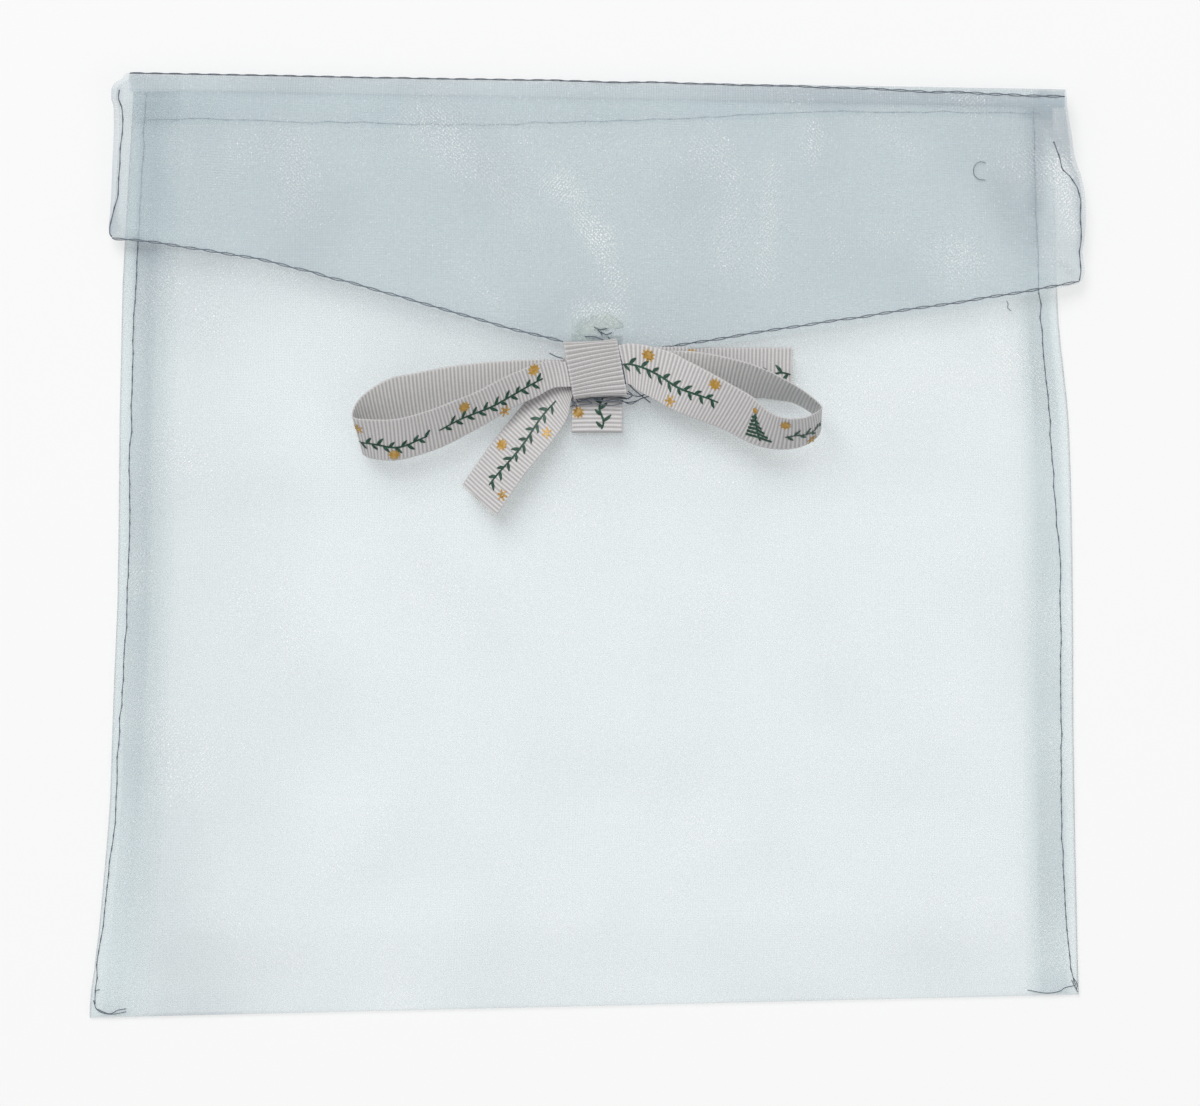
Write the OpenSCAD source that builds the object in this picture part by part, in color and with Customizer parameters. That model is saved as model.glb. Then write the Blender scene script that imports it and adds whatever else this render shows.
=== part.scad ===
// Organza gift envelope with a ribbon bow.
// The frame has X to the right, Y towards the flap's fold and Z up off the table.
// The origin lies on the table under the middle of the pocket.

/* [Pocket] */
// Height of the pocket from its fold to its base, along the centre line
pocket_h = 184.9; // [150:0.1:230]
// Width of the mouth to the left of the centre line
mouth_left_w = 91.2; // [75:0.1:115]
// Width of the mouth to the right of the centre line
mouth_right_w = 92.4; // [75:0.1:115]
// How much further out the left side stands at the base, as a straight taper
left_taper = 5; // [0:0.1:12]
// How much further out the right side stands at the base, as a straight taper
right_taper = 3.8; // [0:0.1:12]
// How far the sewn corner at the left of the base is pulled out
left_flare = 2.8; // [0:0.1:6]
// How far the sewn corner at the right of the base is pulled out
right_flare = 1.2; // [0:0.1:6]
// Clear height inside the pocket
pocket_gap = 5; // [4.6:0.1:9]
// Lean of the fold line, down to the right, in degrees
fold_lean = 1; // [0:0.01:3]
// Lean of the base line, up to the right, in degrees
base_lean = 1.34; // [0:0.01:3]

/* [Cloth] */
// Thickness of one ply, as it stands in for the real weave
ply_t = 0.3; // [0.2:0.05:0.5]
// Width of the side edges that are turned in and sewn
turning_w = 7.6; // [5:0.1:10]
// Depth of the hem turned under along the mouth
hem_w = 5.6; // [4:0.1:8]
// Gap between plies that lie on each other
ply_gap = 0.1; // [0.05:0.01:0.2]
// Gap between the two plies of the flap
flap_ply_gap = 0.2; // [0.1:0.05:0.4]
// Gap between the flap and the front of the pocket
flap_clear = 0.7; // [0.65:0.05:1.5]

/* [Flap] */
// Length of the flap from the fold to its tip
flap_l = 54.5; // [45:0.1:70]
// How far the flap stands out past the mouth on the left
flap_left_over = 5.1; // [3:0.1:10]
// How far the flap stands out past the mouth on the right
flap_right_over = 6.6; // [3:0.1:10]
// How far the side edges of the flap droop
flap_droop = 2.4; // [0:0.1:2.8]
// How far the tip is lifted by the ribbon tab under it
tip_lift = 0.2; // [0.15:0.05:0.6]

/* [Ribbon] */
// Width of the grosgrain ribbon
ribbon_w = 10; // [8:0.1:11]
// Thickness of the ribbon
ribbon_t = 0.4; // [0.3:0.05:0.5]
// Reach of the bow's left loop from the knot
left_loop_l = 47.8; // [40:0.1:60]
// Reach of the bow's right loop from the knot
right_loop_l = 44.6; // [38:0.1:60]
// Height of the bow above the bottom of the knot
bow_h = 10; // [8:0.1:12]
// Reach of the left tail from the knot
left_tail_l = 34.8; // [30:0.1:45]
// Reach of the right tail from the knot
right_tail_l = 38.8; // [32:0.1:42]
// Length of the knot band across the bow
knot_l = 10.8; // [10.4:0.1:12]
// Lean of the knot, in degrees
knot_lean = 10.5; // [0:0.1:15]
// Length of the tab that carries the bow
tab_l = 22.6; // [18:0.1:26]
// Length of the tab that lies under the flap
tab_under_l = 6.8; // [5:0.1:9]

/* [Thread] */
// Thickness of the sewing thread
thread_d = 0.3; // [0.2:0.05:0.35]
// Length of one stitch
stitch_l = 3.8; // [3:0.1:5]
// Distance of the edge stitching from the edge
edge_inset = 1.4; // [1:0.1:2]

/* [Hidden] */
$fn = 48;

cloth_colour = "#C9D6DB";
flap_colour = "#B4C1C7";
ribbon_colour = "#CFC9C8";
thread_colour = "#76828D";

// Gap that keeps a sewn thread off the cloth under it
thread_gap = 0.08;
// Gap that keeps the bow off the cloth under it
bow_clear = 0.3;
// How far the flap's root stands above its fold line
root_rise = 0.3;
// How far the back panel's lip stops below the fold line, to leave the turning flap room
lip_drop = 1.3;

// The cloth turns over at the top in a half round. The fold line is at half its height.
fold_r = (ply_t / 2 + pocket_gap + ply_t + flap_clear + ply_t + flap_ply_gap / 2) / 2;
fold_z = ply_t / 2 + fold_r;
lining_r = fold_r - flap_ply_gap / 2 - ply_t / 2;
outer_r = fold_r + flap_ply_gap / 2 + ply_t / 2;
fold_reach = outer_r + ply_t / 2;
flap_left_w = mouth_left_w + flap_left_over;
flap_right_w = mouth_right_w + flap_right_over;

function smooth(t) = let (c = min(1, max(0, t))) c * c * (3 - 2 * c);
function fold_y(x) = pocket_h / 2 - x * tan(fold_lean);
function base_y(x) = -pocket_h / 2 + x * tan(base_lean);
function round_y(x) = fold_y(x) - fold_reach;

// Pocket sides. down_share runs from 0 at the mouth to 1 at the base.
function side_x(side, down_share) = side < 0
    ? -(mouth_left_w + left_taper * down_share + left_flare * pow(down_share, 4))
    : mouth_right_w + right_taper * down_share + right_flare * pow(down_share, 4);
function pocket_x(across_share, down_share) =
    abs(across_share) * side_x(across_share, down_share);
function pocket_y(x, down_share) = round_y(x) + (base_y(x) - round_y(x)) * down_share;

// The front panel stands up in a flat plateau and comes down to the seams and to the base.
mean_half_w = (mouth_left_w + mouth_right_w) / 2;
seam_share = 1 - 2 * edge_inset / mean_half_w;
plateau_share = 0.87;
turning_share = 1 - turning_w / mean_half_w;
hem_share = hem_w / pocket_h;
base_start_share = 0.9;
base_end_share = 0.99;
seam_z = ply_t + ply_gap + ply_t;
function rise(across_share) =
    smooth((seam_share - abs(across_share)) / (seam_share - plateau_share));
function fall(down_share) =
    smooth((base_end_share - down_share) / (base_end_share - base_start_share));
function front_under_z(across_share, down_share) =
    seam_z + ply_gap + ply_t
    + (pocket_gap - 2 * ply_t - 2 * ply_gap) * rise(across_share) * fall(down_share);
function front_top_z(across_share, down_share) = front_under_z(across_share, down_share) + ply_t;
function turned_in(across_share, down_share) =
    abs(across_share) > turning_share || down_share < hem_share;

step_share = 0.003;
across_half_shares = [
    0.25, 0.5, 0.7, 0.8, plateau_share, 0.9, turning_share - step_share,
    turning_share + step_share, 0.945, 0.965, seam_share, 1
];
across_shares = concat(
    [for (i = [len(across_half_shares) - 1:-1:0]) -across_half_shares[i]], [0], across_half_shares
);
down_shares = [
    0, hem_share - step_share, hem_share + step_share, 0.2, 0.4, 0.6, 0.8,
    base_start_share, 0.92, 0.94, 0.96, 0.975, base_end_share, 1
];

// Flap outline. Widths follow the share of the way down the flap, lengths the share across it.
left_width_shares = [[0, 0.96], [0.12, 0.992], [0.6, 0.993], [0.9, 1], [1, 0.985]];
right_width_shares = [[0, 0.958], [0.2, 0.965], [0.5, 0.988], [0.75, 1], [0.9, 1], [1, 0.985]];
length_shares = [
    [-1, 0.61], [-0.9, 0.635], [-0.75, 0.675], [-0.6, 0.72], [-0.4, 0.816], [-0.2, 0.916],
    [-0.06, 0.967], [0.08, 1], [0.2, 0.97], [0.35, 0.921], [0.55, 0.86], [0.75, 0.798],
    [0.9, 0.748], [1, 0.703]
];
function flap_half_w(side, out_share) = side < 0
    ? flap_left_w * lookup(out_share, left_width_shares)
    : flap_right_w * lookup(out_share, right_width_shares);
function flap_x(across_share, out_share) =
    sign(across_share) * abs(across_share) * flap_half_w(across_share, out_share);
function flap_len(across_share) = flap_l * lookup(across_share, length_shares) - fold_reach;
droop_power = 12;
function flap_change(across_share, out_share) =
    tip_lift * smooth(1 - abs(across_share) * 2.5) * smooth(out_share * 1.6)
    - flap_droop * pow(abs(across_share), droop_power) * smooth(out_share * 3);

flap_across_shares = [
    -1, -0.985, -0.96, -0.93, -0.89, -0.84, -0.75, -0.6, -0.4, -0.25, -0.12, -0.03,
    0.08, 0.2, 0.35, 0.5, 0.62, 0.75, 0.84, 0.89, 0.93, 0.96, 0.985, 1
];
flap_out_shares = [0.08, 0.2, 0.35, 0.5, 0.65, 0.8, 0.9, 0.966, 1];
arc_steps = 5;

// One point of a ply. Rows up to arc_steps lie on the round of the fold, the others on the flap.
function flap_point(ply_r, across_share, row) =
    row <= arc_steps
    ? let (
        start = asin(root_rise / ply_r),
        turn = start + (90 - start) * row / arc_steps,
        x = flap_x(across_share, 0)
    ) [x, round_y(x) + ply_r * cos(turn), fold_z + ply_r * sin(turn)]
    : let (
        out_share = flap_out_shares[row - arc_steps - 1],
        x = flap_x(across_share, out_share)
    ) [
        x,
        round_y(x) - flap_len(across_share) * out_share,
        fold_z + ply_r + flap_change(across_share, out_share)
    ];
flap_rows = arc_steps + len(flap_out_shares);

// Skin between two grids of points that have the same number of rows and columns.
module skin(top, under) {
    rows = len(top);
    cols = len(top[0]);
    half = rows * cols;
    function at(row, col) = row * cols + col;
    points = concat([for (line = top) each line], [for (line = under) each line]);
    top_faces = [
        for (row = [0:rows - 2], col = [0:cols - 2]) each [
            [at(row, col), at(row, col + 1), at(row + 1, col + 1)],
            [at(row, col), at(row + 1, col + 1), at(row + 1, col)]
        ]
    ];
    under_faces = [for (face = top_faces) [face[2] + half, face[1] + half, face[0] + half]];
    edge = concat(
        [for (col = [cols - 1:-1:1]) at(0, col)],
        [for (row = [0:rows - 2]) at(row, 0)],
        [for (col = [0:cols - 2]) at(rows - 1, col)],
        [for (row = [rows - 1:-1:1]) at(row, cols - 1)]
    );
    rim_faces = [
        for (i = [0:len(edge) - 1])
            let (a = edge[i], b = edge[(i + 1) % len(edge)])
                each [[a, b, b + half], [a, b + half, a + half]]
    ];
    polyhedron(points, concat(top_faces, under_faces, rim_faces), convexity = 8);
}

// A straight stitch from one point to another.
module stitch(from, to) {
    run = to - from;
    translate(from)
        rotate([0, acos(run[2] / norm(run)), atan2(run[1], run[0])])
            cylinder(h = norm(run), d = thread_d, $fn = 16);
}

// Stitches along a line of points, with a short gap after each.
stitch_share = 0.86;
module stitch_row(points) {
    for (i = [0:len(points) - 2])
        stitch(points[i], points[i] + (points[i + 1] - points[i]) * stitch_share);
}

// Ribbon swept along stations of centre, heading, tilt and width. The heading turns the width
// from +Y towards +X, and the tilt lifts its far edge.
function width_line(heading, tilt) =
    [sin(heading) * cos(tilt), cos(heading) * cos(tilt), sin(tilt)];
function unit(v) = v / norm(v);
function spline(a, b, c, d, t) =
    0.5 * (2 * b + (c - a) * t + (2 * a - 5 * b + 4 * c - d) * t * t
    + (3 * b - a - 3 * c + d) * t * t * t);
function ribbon_ring(centre, ahead, across, w) =
    let (normal = unit(cross(ahead, across)), half = across * w / 2, up = normal * ribbon_t / 2)
        [centre + half + up, centre - half + up, centre - half - up, centre + half - up];
ribbon_steps = 4;

module ribbon(stations, closed) {
    count = len(stations);
    spans = closed ? count : count - 1;
    function station(i) = closed
        ? stations[(i + count) % count]
        : stations[min(count - 1, max(0, i))];
    line = [
        for (i = [0:spans - 1], k = [0:ribbon_steps - 1])
            spline(station(i - 1), station(i), station(i + 1), station(i + 2), k / ribbon_steps)
    ];
    path = closed ? line : concat(line, [stations[count - 1]]);
    last = len(path) - 1;
    function centre(i) = [path[i][0], path[i][1], path[i][2]];
    function ahead(i) = closed
        ? centre((i + 1) % (last + 1)) - centre((i + last) % (last + 1))
        : centre(min(last, i + 1)) - centre(max(0, i - 1));
    rings = [
        for (i = [0:last])
            ribbon_ring(centre(i), ahead(i), unit(width_line(path[i][3], path[i][4])), path[i][5])
    ];
    ring_faces = [
        for (i = [0:closed ? last : last - 1], k = [0:3])
            let (j = (i + 1) % (last + 1), n = (k + 1) % 4)
                each [[4 * i + k, 4 * j + k, 4 * j + n], [4 * i + k, 4 * j + n, 4 * i + n]]
    ];
    ends = closed ? [] : [
        [0, 1, 2], [0, 2, 3],
        [4 * last + 2, 4 * last + 1, 4 * last], [4 * last + 3, 4 * last + 2, 4 * last]
    ];
    polyhedron([for (ring = rings) each ring], concat(ring_faces, ends), convexity = 8);
}

// Bow. Its heights stand on the front of the pocket and on the flap's tip.
front_z = seam_z + ply_gap + ply_t + pocket_gap - 2 * ply_t - 2 * ply_gap + ply_t;
bow_floor_z = front_z + bow_clear;
tip_top_z = fold_z + outer_r + ply_t / 2 + tip_lift;
knot_floor_z = tip_top_z + ply_gap;
tip_share = 0.08;
knot_x_share = 0.014;
knot_x = knot_x_share * flap_right_w;
// How far the knot's middle lies beyond the flap's tip
knot_drop = 3.4;
knot_y = fold_y(knot_x) - flap_l - knot_drop;
// Room between the layers of ribbon in the knot
knot_layer_gap = 0.5;
knot_in_h = 3 * ribbon_t + 3 * knot_layer_gap;
knot_h = knot_in_h + 2 * ribbon_t;
knot_mid_z = knot_floor_z + knot_h / 2;
layer_step = ribbon_t + knot_layer_gap;
pinch_share = 0.78;
knot_exit_share = 0.53;

// Rows of the bow tables hold the place in shares of the loop's reach, the height above the
// bottom of the bow in shares of the bow's height, then heading, tilt and width share.
function bow_stations(rows, reach) = [
    for (row = rows) [
        knot_x + row[0] * reach,
        knot_y + row[1] * reach,
        bow_floor_z + ribbon_t / 2 + row[2] * bow_h,
        row[3],
        row[4],
        ribbon_w * row[5]
    ]
];
// Stations through the knot, straight along its lean. way is 1 to the right and -1 to the left.
function knot_stations(layer, way) = [
    for (share = [-1, 0, 1])
        let (along = share * way * ribbon_w * knot_exit_share) [
            knot_x + along * cos(knot_lean),
            knot_y + along * sin(knot_lean),
            knot_mid_z + layer * layer_step,
            -knot_lean,
            0,
            ribbon_w * pinch_share
        ]
];

right_top_shares = [
    [0.18, 0.02, 0.45, 0, 4, 0.9], [0.29, -0.01, 0.53, 14, 6, 1], [0.37, -0.05, 0.61, 21, 8, 1],
    [0.53, -0.125, 0.8, 28, 29, 1], [0.63, -0.175, 0.93, 31, 36, 1], [0.73, -0.25, 1.05, 22, 47, 1],
    [0.82, -0.28, 1.09, 7, 53, 1], [0.91, -0.275, 1.05, -6, 58, 1], [0.98, -0.235, 0.82, -12, 64, 1]
];
right_back_shares = [
    [0.97, -0.16, 0.56, -3, 66, 1], [0.9, -0.115, 0.49, 12, 62, 1],
    [0.82, -0.08, 0.48, 18, 57, 1], [0.74, -0.06, 0.45, 17, 50, 1],
    [0.655, -0.05, 0.405, 12, 41, 1], [0.53, -0.04, 0.35, 8, 29, 1],
    [0.43, -0.03, 0.295, 5, 18, 1], [0.27, -0.01, 0.3, 2, 6, 0.9]
];
left_back_shares = [
    [-0.18, -0.05, 0.26, -2, 4, 0.9], [-0.35, -0.085, 0.25, -3, 9, 1],
    [-0.49, -0.09, 0.24, -4, 15, 1], [-0.62, -0.1, 0.235, -5, 20, 1],
    [-0.745, -0.12, 0.245, -6, 23, 1], [-0.835, -0.135, 0.26, -8, 25, 1],
    [-0.912, -0.17, 0.295, -10, 29, 1], [-0.967, -0.21, 0.36, -13, 33, 1]
];
left_top_shares = [
    [-0.99, -0.255, 0.49, -15, 36, 1], [-0.975, -0.275, 0.61, -14, 37, 1],
    [-0.905, -0.29, 0.74, -6, 35, 1], [-0.81, -0.29, 0.79, -4, 34, 1],
    [-0.67, -0.26, 0.79, -11, 33, 1], [-0.57, -0.22, 0.765, -15, 31, 1],
    [-0.465, -0.17, 0.71, -18, 24, 1], [-0.37, -0.12, 0.645, -18, 18, 1],
    [-0.27, -0.07, 0.56, -18, 15, 1], [-0.19, -0.04, 0.49, -13, 10, 0.93]
];
right_tail_shares = [
    [1, -0.015, 0, 0, 0, 1], [0.75, -0.015, 0.005, 0, 0, 1], [0.54, -0.015, 0.04, 0, 0, 1],
    [0.36, -0.012, 0.155, 0, 0, 1], [0.22, 0, 0.2, -3, 0, 0.88]
];
left_tail_shares = [
    [-0.24, -0.17, 0.17, -34, -5, 0.88],
    [-0.36, -0.33, 0.185, -46, -18, 0.96], [-0.5, -0.5, 0.235, -48, -26, 1],
    [-0.67, -0.745, 0.225, -48, -24, 1]
];

module back_panel() {
    color(cloth_colour) {
        linear_extrude(ply_t)
            polygon(concat(
                [for (down_share = down_shares) back_edge(-1, down_share)],
                [for (i = [len(down_shares) - 1:-1:0]) back_edge(1, down_shares[i])]
            ));
        for (side = [-1, 1]) turned_strip(side);
        lip();
    }
}
function back_edge(side, down_share) =
    let (x = side_x(side, down_share)) [x, pocket_y(x, down_share)];

// Side edge of the back panel, turned in on top of it.
module turned_strip(side) {
    outer = [for (down_share = down_shares) back_edge(side, down_share)];
    inner = [
        for (i = [len(down_shares) - 1:-1:0])
            let (x = side_x(side, down_shares[i]) - side * turning_w)
                [x, pocket_y(x, down_shares[i])]
    ];
    translate([0, 0, ply_t])
        linear_extrude(ply_t)
            polygon(concat(outer, inner));
}

// The back panel's upper edge curls up in a quarter round below the fold line.
module lip() {
    lip_left = side_x(-1, 0) / cos(fold_lean);
    lip_right = side_x(1, 0) / cos(fold_lean);
    translate([0, round_y(0), 0])
        rotate([0, 0, -fold_lean])
            translate([lip_left, 0, 0])
                rotate([90, 0, 90])
                    linear_extrude(lip_right - lip_left)
                        intersection() {
                            translate([0, fold_z])
                                difference() {
                                    circle(fold_r + ply_t / 2);
                                    circle(fold_r - ply_t / 2);
                                }
                            translate([-ply_gap, 0])
                                square([fold_reach, fold_z - lip_drop]);
                        }
}

module front_panel() {
    color(cloth_colour)
        skin(
            [for (down_share = down_shares) [
                for (across_share = across_shares)
                    let (x = pocket_x(across_share, down_share))
                        [x, pocket_y(x, down_share), front_top_z(across_share, down_share)]
            ]],
            [for (down_share = down_shares) [
                for (across_share = across_shares)
                    let (
                        x = pocket_x(across_share, down_share),
                        turned = turned_in(across_share, down_share) ? ply_t : 0
                    ) [
                        x,
                        pocket_y(x, down_share),
                        front_under_z(across_share, down_share) - turned
                    ]
            ]]
        );
}

// Rows of stitches down the two sides of the pocket, just inside the edge.
module side_seam_thread(side) {
    seam_l = pocket_h - fold_reach;
    count = floor(seam_l / stitch_l);
    color(thread_colour)
        stitch_row([
            for (i = [0:count])
                let (
                    down_share = (i + 0.5) / (count + 1),
                    x = side_x(side, down_share) - side * edge_inset
                ) [
                    x,
                    pocket_y(x, down_share),
                    front_top_z(1, down_share) + thread_gap + thread_d / 2
                ]
        ]);
}
module left_seam_thread() { side_seam_thread(-1); }
module right_seam_thread() { side_seam_thread(1); }

module mouth_hem_thread() {
    row_w = mouth_left_w + mouth_right_w - 4 * edge_inset;
    count = floor(row_w * plateau_share / stitch_l);
    stitch_in_share = 0.8;
    down_share = hem_share * stitch_in_share;
    // The stitches on the slope end where its facets do
    slope_shares = [0.9, turning_share + step_share, 0.945, seam_share];
    row_shares = concat(
        [for (i = [len(slope_shares) - 1:-1:0]) -slope_shares[i]],
        [for (i = [0:count]) (2 * i / count - 1) * plateau_share],
        slope_shares
    );
    color(thread_colour)
        stitch_row([
            for (across_share = row_shares)
                let (x = pocket_x(across_share, down_share)) [
                    x,
                    pocket_y(x, down_share),
                    front_facet_z(across_share, down_share) + thread_gap + thread_d / 2
                ]
        ]);
}
// Height of the panel's facets, which run straight between the columns of the grid.
function front_facet_z(across_share, down_share) =
    lookup(across_share, [for (share = across_shares) [share, front_top_z(share, down_share)]]);

module flap_ply(ply_r) {
    color(flap_colour)
        skin(
            [for (row = [0:flap_rows]) [
                for (across_share = flap_across_shares)
                    flap_point(ply_r + ply_t / 2, across_share, row)
            ]],
            [for (row = [0:flap_rows]) [
                for (across_share = flap_across_shares)
                    flap_point(ply_r - ply_t / 2, across_share, row)
            ]]
        );
}
module flap_lining() { flap_ply(lining_r); }
module flap_outer() { flap_ply(outer_r); }

// Chain stitching along the fold line, on which the flap turns.
module fold_seam_thread() {
    row_left = flap_x(-1, 0) / cos(fold_lean) + edge_inset;
    row_right = flap_x(1, 0) / cos(fold_lean) - edge_inset;
    count = floor((row_right - row_left) / stitch_l);
    color(thread_colour)
        stitch_row([
            for (i = [0:count])
                let (
                    along = row_left + (row_right - row_left) * i / count,
                    x = along * cos(fold_lean)
                ) [x, round_y(x) + fold_r, fold_z]
        ]);
}

// Chain stitching round the sides and the lower edge of the flap.
module flap_edge_thread() {
    near_edge_share = 0.985;
    near_tip_share = 0.966;
    side_row = function (side) [
        for (out_share = [for (i = [1:8]) 0.04 + (near_tip_share - 0.04) * i / 8])
            edge_point(side * near_edge_share, out_share)
    ];
    edge_count = floor((flap_left_w + flap_right_w) / stitch_l);
    lower_row = [
        for (i = [0:edge_count])
            edge_point((2 * i / edge_count - 1) * near_edge_share, near_tip_share)
    ];
    color(thread_colour) {
        stitch_row(side_row(-1));
        stitch_row(side_row(1));
        stitch_row(lower_row);
    }
}
// Height of the flap's facets, which run straight between the rows and columns of its grid.
function edge_height(across_share, out_share) =
    lookup(out_share, [
        for (row_share = concat([0], flap_out_shares)) [
            row_share,
            lookup(across_share, [
                for (share = flap_across_shares) [share, flap_change(share, row_share)]
            ])
        ]
    ]);
function edge_point(across_share, out_share) =
    let (x = flap_x(across_share, out_share)) [
        x,
        round_y(x) - flap_len(across_share) * out_share,
        fold_z + outer_r + ply_t / 2 + edge_height(across_share, out_share)
            + thread_gap + thread_d / 2
    ];

// Ribbon tab that starts under the flap, carries the bow and ends in a fold below the knot.
module bow_tab() {
    tab_top_y = knot_y + knot_drop + tab_under_l;
    tab_end_y = tab_top_y - tab_l;
    under_flap_z = bow_floor_z;
    knot_z = knot_floor_z - ply_gap - ribbon_t;
    slope_l = 2;
    outline = [
        [tab_top_y, under_flap_z], [knot_y + knot_drop + ply_t, under_flap_z],
        [knot_y + knot_drop - slope_l, knot_z], [knot_y - knot_drop, knot_z],
        [knot_y - knot_drop - slope_l, under_flap_z], [tab_end_y, under_flap_z]
    ];
    upper = [
        [tab_end_y, under_flap_z + 2 * ribbon_t],
        [knot_y - knot_drop - slope_l, under_flap_z + 2 * ribbon_t],
        [knot_y - knot_drop, knot_z + ribbon_t],
        [knot_y + knot_drop - slope_l, knot_z + ribbon_t],
        [knot_y + knot_drop + ply_t, under_flap_z + ribbon_t],
        [tab_top_y, under_flap_z + ribbon_t]
    ];
    color(ribbon_colour)
        translate([knot_x - ribbon_w / 2, 0, 0])
            rotate([90, 0, 90])
                linear_extrude(ribbon_w)
                    polygon(concat(outline, upper));
}

module bow_tails() {
    color(ribbon_colour)
        ribbon(concat(
            bow_stations(right_tail_shares, right_tail_l),
            knot_stations(-1, -1),
            bow_stations(left_tail_shares, left_tail_l)
        ), false);
}

module bow_loops() {
    color(ribbon_colour)
        ribbon(concat(
            knot_stations(1, 1),
            bow_stations(right_top_shares, right_loop_l),
            bow_stations(right_back_shares, right_loop_l),
            knot_stations(0, -1),
            bow_stations(left_back_shares, left_loop_l),
            bow_stations(left_top_shares, left_loop_l)
        ), true);
}

// Band wrapped round the middle of the bow.
module knot_band() {
    color(ribbon_colour)
        translate([knot_x, knot_y, knot_mid_z])
            rotate([0, 0, knot_lean])
                rotate([90, 0, 90])
                    translate([0, 0, -ribbon_w / 2])
                        linear_extrude(ribbon_w)
                            difference() {
                                stadium(knot_l, knot_h);
                                stadium(knot_l - 2 * ribbon_t, knot_in_h);
                            }
}
module stadium(length, height) {
    square([length - height, height], center = true);
    for (side = [-1, 1])
        translate([side * (length - height) / 2, 0])
            circle(d = height);
}

// Hand stitches that hold the knot to the tab.
module bow_tack_thread() {
    tack_share = 0.46;
    color(thread_colour)
        for (side = [-1, 1], end = [-1, 1])
            let (
                x = knot_x + side * ribbon_w * tack_share,
                y = knot_y + end * knot_drop
            )
                stitch([x, y, knot_floor_z - ply_gap], [x, y, knot_floor_z]);
}

back_panel();
front_panel();
left_seam_thread();
right_seam_thread();
mouth_hem_thread();
flap_lining();
flap_outer();
fold_seam_thread();
flap_edge_thread();
bow_tab();
bow_tails();
bow_loops();
knot_band();
bow_tack_thread();
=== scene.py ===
"""Organza gift envelope with a ribbon bow: the looks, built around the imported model.

Sizes are in millimetres until a mesh is made. X runs right, Y towards the flap's fold, Z up.
"""
import logging
import math
from dataclasses import dataclass, field
from enum import Enum
from typing import Optional, Sequence

import bpy
import numpy as np
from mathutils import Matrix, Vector


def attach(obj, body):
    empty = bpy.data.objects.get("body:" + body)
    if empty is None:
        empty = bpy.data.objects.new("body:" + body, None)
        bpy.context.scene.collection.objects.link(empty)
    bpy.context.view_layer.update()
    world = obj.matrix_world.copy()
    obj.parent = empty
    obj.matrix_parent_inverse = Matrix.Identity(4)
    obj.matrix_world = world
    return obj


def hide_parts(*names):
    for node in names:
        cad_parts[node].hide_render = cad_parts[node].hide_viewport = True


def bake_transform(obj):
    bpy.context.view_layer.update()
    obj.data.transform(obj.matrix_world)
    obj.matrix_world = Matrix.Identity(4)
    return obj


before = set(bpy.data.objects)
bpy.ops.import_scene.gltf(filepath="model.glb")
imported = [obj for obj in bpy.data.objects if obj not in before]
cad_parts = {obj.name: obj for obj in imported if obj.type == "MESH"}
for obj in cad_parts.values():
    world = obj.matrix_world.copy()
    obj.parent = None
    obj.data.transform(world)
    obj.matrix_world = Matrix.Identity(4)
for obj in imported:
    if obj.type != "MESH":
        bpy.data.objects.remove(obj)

Table = Sequence[tuple[float, float]]
Point = Sequence[float]
Array = np.ndarray
Material = bpy.types.Material
Node = bpy.types.Node
NodeTree = bpy.types.NodeTree
Piece = bpy.types.Object
Socket = bpy.types.NodeSocket

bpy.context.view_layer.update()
MM = 0.001
LOG = logging.getLogger("organza_envelope")


class Body(Enum):
    """Bodies that a piece can ride on."""

    POCKET = "pocket"
    FLAP = "flap"


class Slot(Enum):
    """Material slots of the record."""

    POCKET_ORGANZA = "pocket_organza"
    FLAP_ORGANZA = "flap_organza"
    RIBBON = "grosgrain_ribbon"
    THREAD = "sewing_thread"


class Stitch(Enum):
    """Kinds of machine stitch."""

    LOCK = "lock"
    CHAIN = "chain"


# ---- Helpers: colours, nodes, meshes


def linear(colour: str, alpha: float = 1.0) -> tuple[float, float, float, float]:
    """Turns an sRGB hex colour into linear values.

    Args:
        colour: Hex colour such as "#CFC8C8".
        alpha: Alpha to carry along.

    Returns:
        Red, green, blue and alpha.
    """
    values = [int(colour[i : i + 2], 16) / 255 for i in (1, 3, 5)]
    red, green, blue = (
        v / 12.92 if v <= 0.04045 else ((v + 0.055) / 1.055) ** 2.4 for v in values
    )
    return red, green, blue, alpha


def feed(node: Node, inputs: dict) -> None:
    """Sets inputs of a node to values, or links them.

    Args:
        node: The node.
        inputs: Value, socket or node by the input's name or number. A node gives its first output.
    """
    for key, value in inputs.items():
        source = value.outputs[0] if isinstance(value, Node) else value
        if isinstance(source, Socket):
            node.id_data.links.new(source, node.inputs[key])
        else:
            node.inputs[key].default_value = source


def add_node(tree: NodeTree, kind: str, inputs: Optional[dict] = None, **settings: object) -> Node:
    """Adds a node with its settings, values and links.

    Args:
        tree: Node tree to add it to.
        kind: Blender's name of its type, without "ShaderNode".
        inputs: What goes into it, as feed takes it.
        **settings: Properties of the node.

    Returns:
        The new node.
    """
    node = tree.nodes.new(f"ShaderNode{kind}")
    for name, value in settings.items():
        setattr(node, name, value)
    feed(node, inputs or {})
    return node


def look_up(table: Table, at: object) -> Array:
    """Reads a table of pairs with straight lines between its rows."""
    return np.interp(at, [row[0] for row in table], [row[1] for row in table])


def smooth(t: object) -> Array:
    """Eases from 0 to 1 as t goes from 0 to 1."""
    c = np.clip(t, 0.0, 1.0)
    return c * c * (3.0 - 2.0 * c)


def units(v: Array) -> Array:
    """Vectors of length 1 along the given ones."""
    return v / np.linalg.norm(v, axis=-1)[..., None]


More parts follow.
